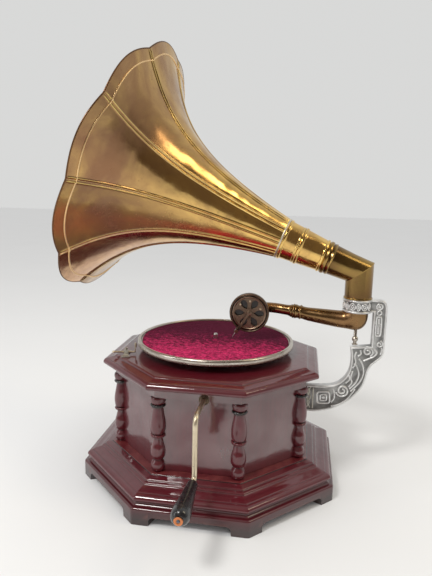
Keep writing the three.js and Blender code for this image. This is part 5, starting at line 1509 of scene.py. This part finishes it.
class GRAMOPHONE_OT_throat(bpy.types.Operator):
    """Throat tube of the horn: a cone with rolled beads at its ends and middle, and the band of
    solder that holds the bell on it"""

    bl_idname = "gramophone.throat"
    bl_label = "Throat"

    def execute(self, context):
        start, end = ELBOW_END + SEAT, THROAT_END
        narrow, wide = THROAT_RADII
        base = lambda along: narrow + (wide - narrow) * (along - start) / (end - start)
        along = np.linspace(start, end, 150)
        beads = ((start + 2.6, 1.9, 1.6), (98, 2.4, 1.8), (102.6, 1.3, 0.9), (end - 3.4, 2.2, 1.8))
        bead = sum(height * np.exp(-((along - spot) / width) ** 4) for spot, width, height in beads)
        inner = along[::-1]
        profile_along = np.r_[along, inner, along[0]]
        profile_radius = np.r_[base(along) + bead, base(inner) - 1.5, (base(along) + bead)[0]]
        angle = round_angles(96)
        grid = round_horn(profile_along[:, None], profile_radius[:, None], angle[None])
        make_piece("throat_tube", [patch(to_row(grid), True)], "horn_brass", "horn",
                   ("horn_throat",), crease=50)
        band = np.array([(-0.9, 0.2), (-0.9, 1.0), (-0.3, 1.7), (0.8, 1.8), (1.7, 1.2), (1.9, 0.2), (-0.9, 0.2)])
        grid = round_horn(end + band[:, :1], wide + band[:, 1:] + 0.17 * band[:, :1], angle[None])
        make_piece("solder_band", [patch(to_row(grid), True)], "solder", "horn", crease=50)
        return {"FINISHED"}


class GRAMOPHONE_OT_petals(bpy.types.Operator):
    """Ten petals of the bell. A petal's sheet follows the bell's curve and stands out from it by a
    slight bow between the seams and by a raised line beside each seam. The lip ends in a lobe, the
    0.55th power of a raised cosine, with a rolled edge; a half-sunk wire keeps its distance from it"""

    bl_idname = "gramophone.petals"
    bl_label = "Petals"

    def execute(self, context):
        look = settings("horn")
        pitch = 2 * np.pi / PETALS
        across = np.sin(np.linspace(-1, 1, 84) * np.pi / 2)[None]
        lobe = PETAL_LOBE * (0.5 + 0.5 * np.cos(np.pi * across)) ** 0.55
        start = THROAT_END + SEAT
        coarse = 1 - (1 - np.linspace(0, 1, 84)) ** 1.5
        ring_share = (RING_AT - start) / (BELL_END - start)
        share_along = np.unique(np.r_[coarse, ring_share])[:, None]
        ring_row = int(np.searchsorted(share_along[:, 0], ring_share))
        along = start + (BELL_END + lobe - start) * share_along
        radius, slope = bell_curve(along)
        norm = np.hypot(1, slope)
        grown = np.clip(share_along, 0, 1)

        seam_distance = (1 - np.abs(across)) * pitch / 2 * radius
        half_gap, line_width = look.seam_width / MM / 2, look.seam_line / MM / 2
        lines = np.exp(-np.abs((seam_distance - half_gap) / line_width) ** 2.6)
        lines = lines * look.seam_height / MM * (0.55 + 0.45 * np.minimum(grown * 4, 1))
        hem = np.exp(-(((1 - share_along) * (BELL_END - start) * norm / 4.0) ** 2))
        proud = lines * (1 - 0.7 * hem) + look.petal_puff / MM * grown**1.5 * (1 - across**2)
        ring, lips = [], []

        sheet = look.sheet / MM
        for petal in range(PETALS):
            angle = PETAL_PHASE + (petal + 0.5) * pitch + across * (pitch / 2 - 0.10 / radius)
            outer = round_horn(along - proud * slope / norm, radius + proud / norm, angle)
            inner = round_horn(along + sheet * slope / norm, radius - sheet / norm, angle)
            shell = np.concatenate([outer, inner[:, ::-1]], axis=1)
            patches = [patch(to_row(shell), True)]
            for row in (0, -1):
                patches.append(patch(to_row(np.stack([outer[row], inner[row]]))))
            lip = (outer[-1] + inner[-1]) / 2
            lips.append(patch(tube_grid(to_row(lip), look.lip_roll, 12, HORN_WAY), True, "first last"))
            ring.append(outer[ring_row])
            number = petal + 1
            make_piece(f"petal_{number}", patches, PETALS_WITH_PAINTED_REFLECTION.get(number, "horn_brass"), "horn",
                       (f"horn_petal_{number}",), crease=60)
        make_piece("lip_edge", lips, "dark_brass", "horn", crease=60)
        ring = np.vstack(ring + [ring[0][:3]])
        ring = ring[np.r_[True, np.linalg.norm(np.diff(ring, axis=0), axis=1) > 0.25]]
        make_piece("lip_ring", [patch(tube_grid(to_row(ring), look.ring_radius, 12, HORN_WAY), True, "first last")],
                   "wire_brass", "horn", crease=60)
        return {"FINISHED"}


# ---------------------------------------------------------------------------
# Stage
# ---------------------------------------------------------------------------


class GRAMOPHONE_OT_camera(bpy.types.Operator):
    """Camera where the photograph was taken"""

    bl_idname = "gramophone.camera"
    bl_label = "Camera"

    def execute(self, context):
        look = settings("stage")
        lens = bpy.data.cameras.new("photo_camera")
        lens.sensor_fit = "VERTICAL"
        lens.sensor_height = 36.0
        lens.lens = look.lens
        lens.clip_end = 20.0
        right, up, back = (0.9867, 0.1612, 0.0213), (-0.0501, 0.1767, 0.9830), (0.1547, -0.9710, 0.1824)
        turn = Matrix((right, up, back)).transposed()
        camera = bpy.data.objects.new("photo_camera", lens)
        place = CABINET_AXIS + np.array(look.camera_place)
        camera.matrix_world = Matrix.Translation(place.tolist()) @ turn.to_quaternion().to_matrix().to_4x4()
        context.scene.collection.objects.link(camera)
        context.scene.camera = camera
        return {"FINISHED"}


def soft_lamp(name, place, target, size, power, tint):
    """A rectangular area lamp that looks at a point."""
    lamp = bpy.data.lights.new(name, "AREA")
    lamp.shape = "RECTANGLE"
    lamp.size, lamp.size_y = size
    lamp.energy = power
    lamp.color = tint
    holder = bpy.data.objects.new(name, lamp)
    away = unit(np.array(place) - target)
    side = unit(np.cross(UP, away))
    turn = Matrix((side, np.cross(away, side), away)).transposed()
    holder.matrix_world = Matrix.Translation(place) @ turn.to_4x4()
    bpy.context.scene.collection.objects.link(holder)


class GRAMOPHONE_OT_stage(bpy.types.Operator):
    """Pale floor, pale background and soft light"""

    bl_idname = "gramophone.stage"
    bl_label = "Stage"

    def execute(self, context):
        look = settings("stage")
        reach = 9.0
        corners = np.array([[-1, -1, 0], [1, -1, 0], [1, 1, 0], [-1, 1, 0]]) * reach
        mesh = bpy.data.meshes.new("studio_floor")
        mesh.from_pydata(corners.tolist(), [], [[0, 1, 2, 3]])
        paper = Finish("floor_paper")
        fibre = paper.noise(paper.at(), 3, 3)
        tone = paper.mix(paper.span(fibre, 0.3, 0.7), look.floor, [c * 0.985 for c in look.floor])
        mesh.materials.append(paper.set(Base_Color=tone, Roughness=1.0, Specular_IOR_Level=0.0))
        floor = bpy.data.objects.new("studio_floor", mesh)
        context.scene.collection.objects.link(floor)

        centre = (0.0, 0.0, 0.25)
        soft_lamp("key_lamp", (-0.65, -1.15, 1.85), centre, (0.42, 0.36), look.key_power, (1.0, 0.985, 0.96))
        soft_lamp("rim_lamp", (1.35, -0.2, 1.65), (-0.05, 0.0, 0.5), (0.5, 0.9), look.rim_power, (1.0, 0.86, 0.62))
        soft_lamp("fill_lamp", (-1.6, -0.9, 0.9), centre, (0.25, 1.2), look.fill_power, (0.96, 0.98, 1.0))

        world = bpy.data.worlds.new("studio")
        context.scene.world = world
        world.use_nodes = True
        sky = Nodes(world.node_tree)
        camera_ray, glossy_ray, clear_ray = (
            sky.node("LightPath", {}, f"Is {kind} Ray") for kind in ("Camera", "Glossy", "Transmission"))
        direction = sky.node("TexCoord", {}, "Generated")
        mirrored = sky.mix(sky.span(sky.part(direction, "Y"), 0.45, -0.25), look.backdrop, look.room)
        above = sky.span(sky.part(direction, "Z"), 0.0, 1.0, look.sideways, look.overhead)
        light = sky.mix(sky.greater(glossy_ray, clear_ray), above, mirrored)
        shown = sky.mix(camera_ray, light, look.backdrop)
        background = sky.tree.nodes["Background"]
        sky.tree.links.new(shown, background.inputs["Color"])
        background.inputs["Strength"].default_value = 1.0
        context.scene.view_settings.view_transform = "Standard"
        return {"FINISHED"}


# ---------------------------------------------------------------------------
# Add-on
# ---------------------------------------------------------------------------

STEPS = (
    GRAMOPHONE_OT_camera, GRAMOPHONE_OT_stage, GRAMOPHONE_OT_feet, GRAMOPHONE_OT_plinth, GRAMOPHONE_OT_boards,
    GRAMOPHONE_OT_deck, GRAMOPHONE_OT_columns, GRAMOPHONE_OT_platter, GRAMOPHONE_OT_velvet,
    GRAMOPHONE_OT_crank, GRAMOPHONE_OT_grip, GRAMOPHONE_OT_escutcheon, GRAMOPHONE_OT_brake,
    GRAMOPHONE_OT_motor, GRAMOPHONE_OT_bracket, GRAMOPHONE_OT_screws, GRAMOPHONE_OT_pivot, GRAMOPHONE_OT_tone_arm,
    GRAMOPHONE_OT_neck, GRAMOPHONE_OT_soundbox, GRAMOPHONE_OT_elbow, GRAMOPHONE_OT_throat, GRAMOPHONE_OT_petals,
)
GROUPS = {
    "cabinet": CabinetSettings, "turntable": TurntableSettings, "horn": HornSettings, "casting": CastingSettings,
    "stage": StageSettings,
}


class GRAMOPHONE_PT_pieces(bpy.types.Panel):
    """Sizes, colours and making steps of the gramophone"""

    bl_label = "Gramophone"
    bl_idname = "GRAMOPHONE_PT_pieces"
    bl_space_type = "VIEW_3D"
    bl_region_type = "UI"
    bl_category = "Gramophone"

    def draw(self, context):
        for name, group in GROUPS.items():
            box = self.layout.box()
            box.label(text=name.capitalize())
            for key in group.__annotations__:
                box.prop(settings(name), key)
        for step in STEPS:
            self.layout.operator(step.bl_idname)


def register():
    for group in (*GROUPS.values(), *STEPS, GRAMOPHONE_PT_pieces):
        bpy.utils.register_class(group)
    for name, group in GROUPS.items():
        setattr(bpy.types.Scene, "gramophone_" + name, bpy.props.PointerProperty(type=group))


def unregister():
    for name in GROUPS:
        delattr(bpy.types.Scene, "gramophone_" + name)
    for group in reversed((*GROUPS.values(), *STEPS, GRAMOPHONE_PT_pieces)):
        bpy.utils.unregister_class(group)


def main():
    register()
    for step in STEPS:
        group, name = step.bl_idname.split(".")
        getattr(getattr(bpy.ops, group), name)()


if __name__ == "__main__":
    main()
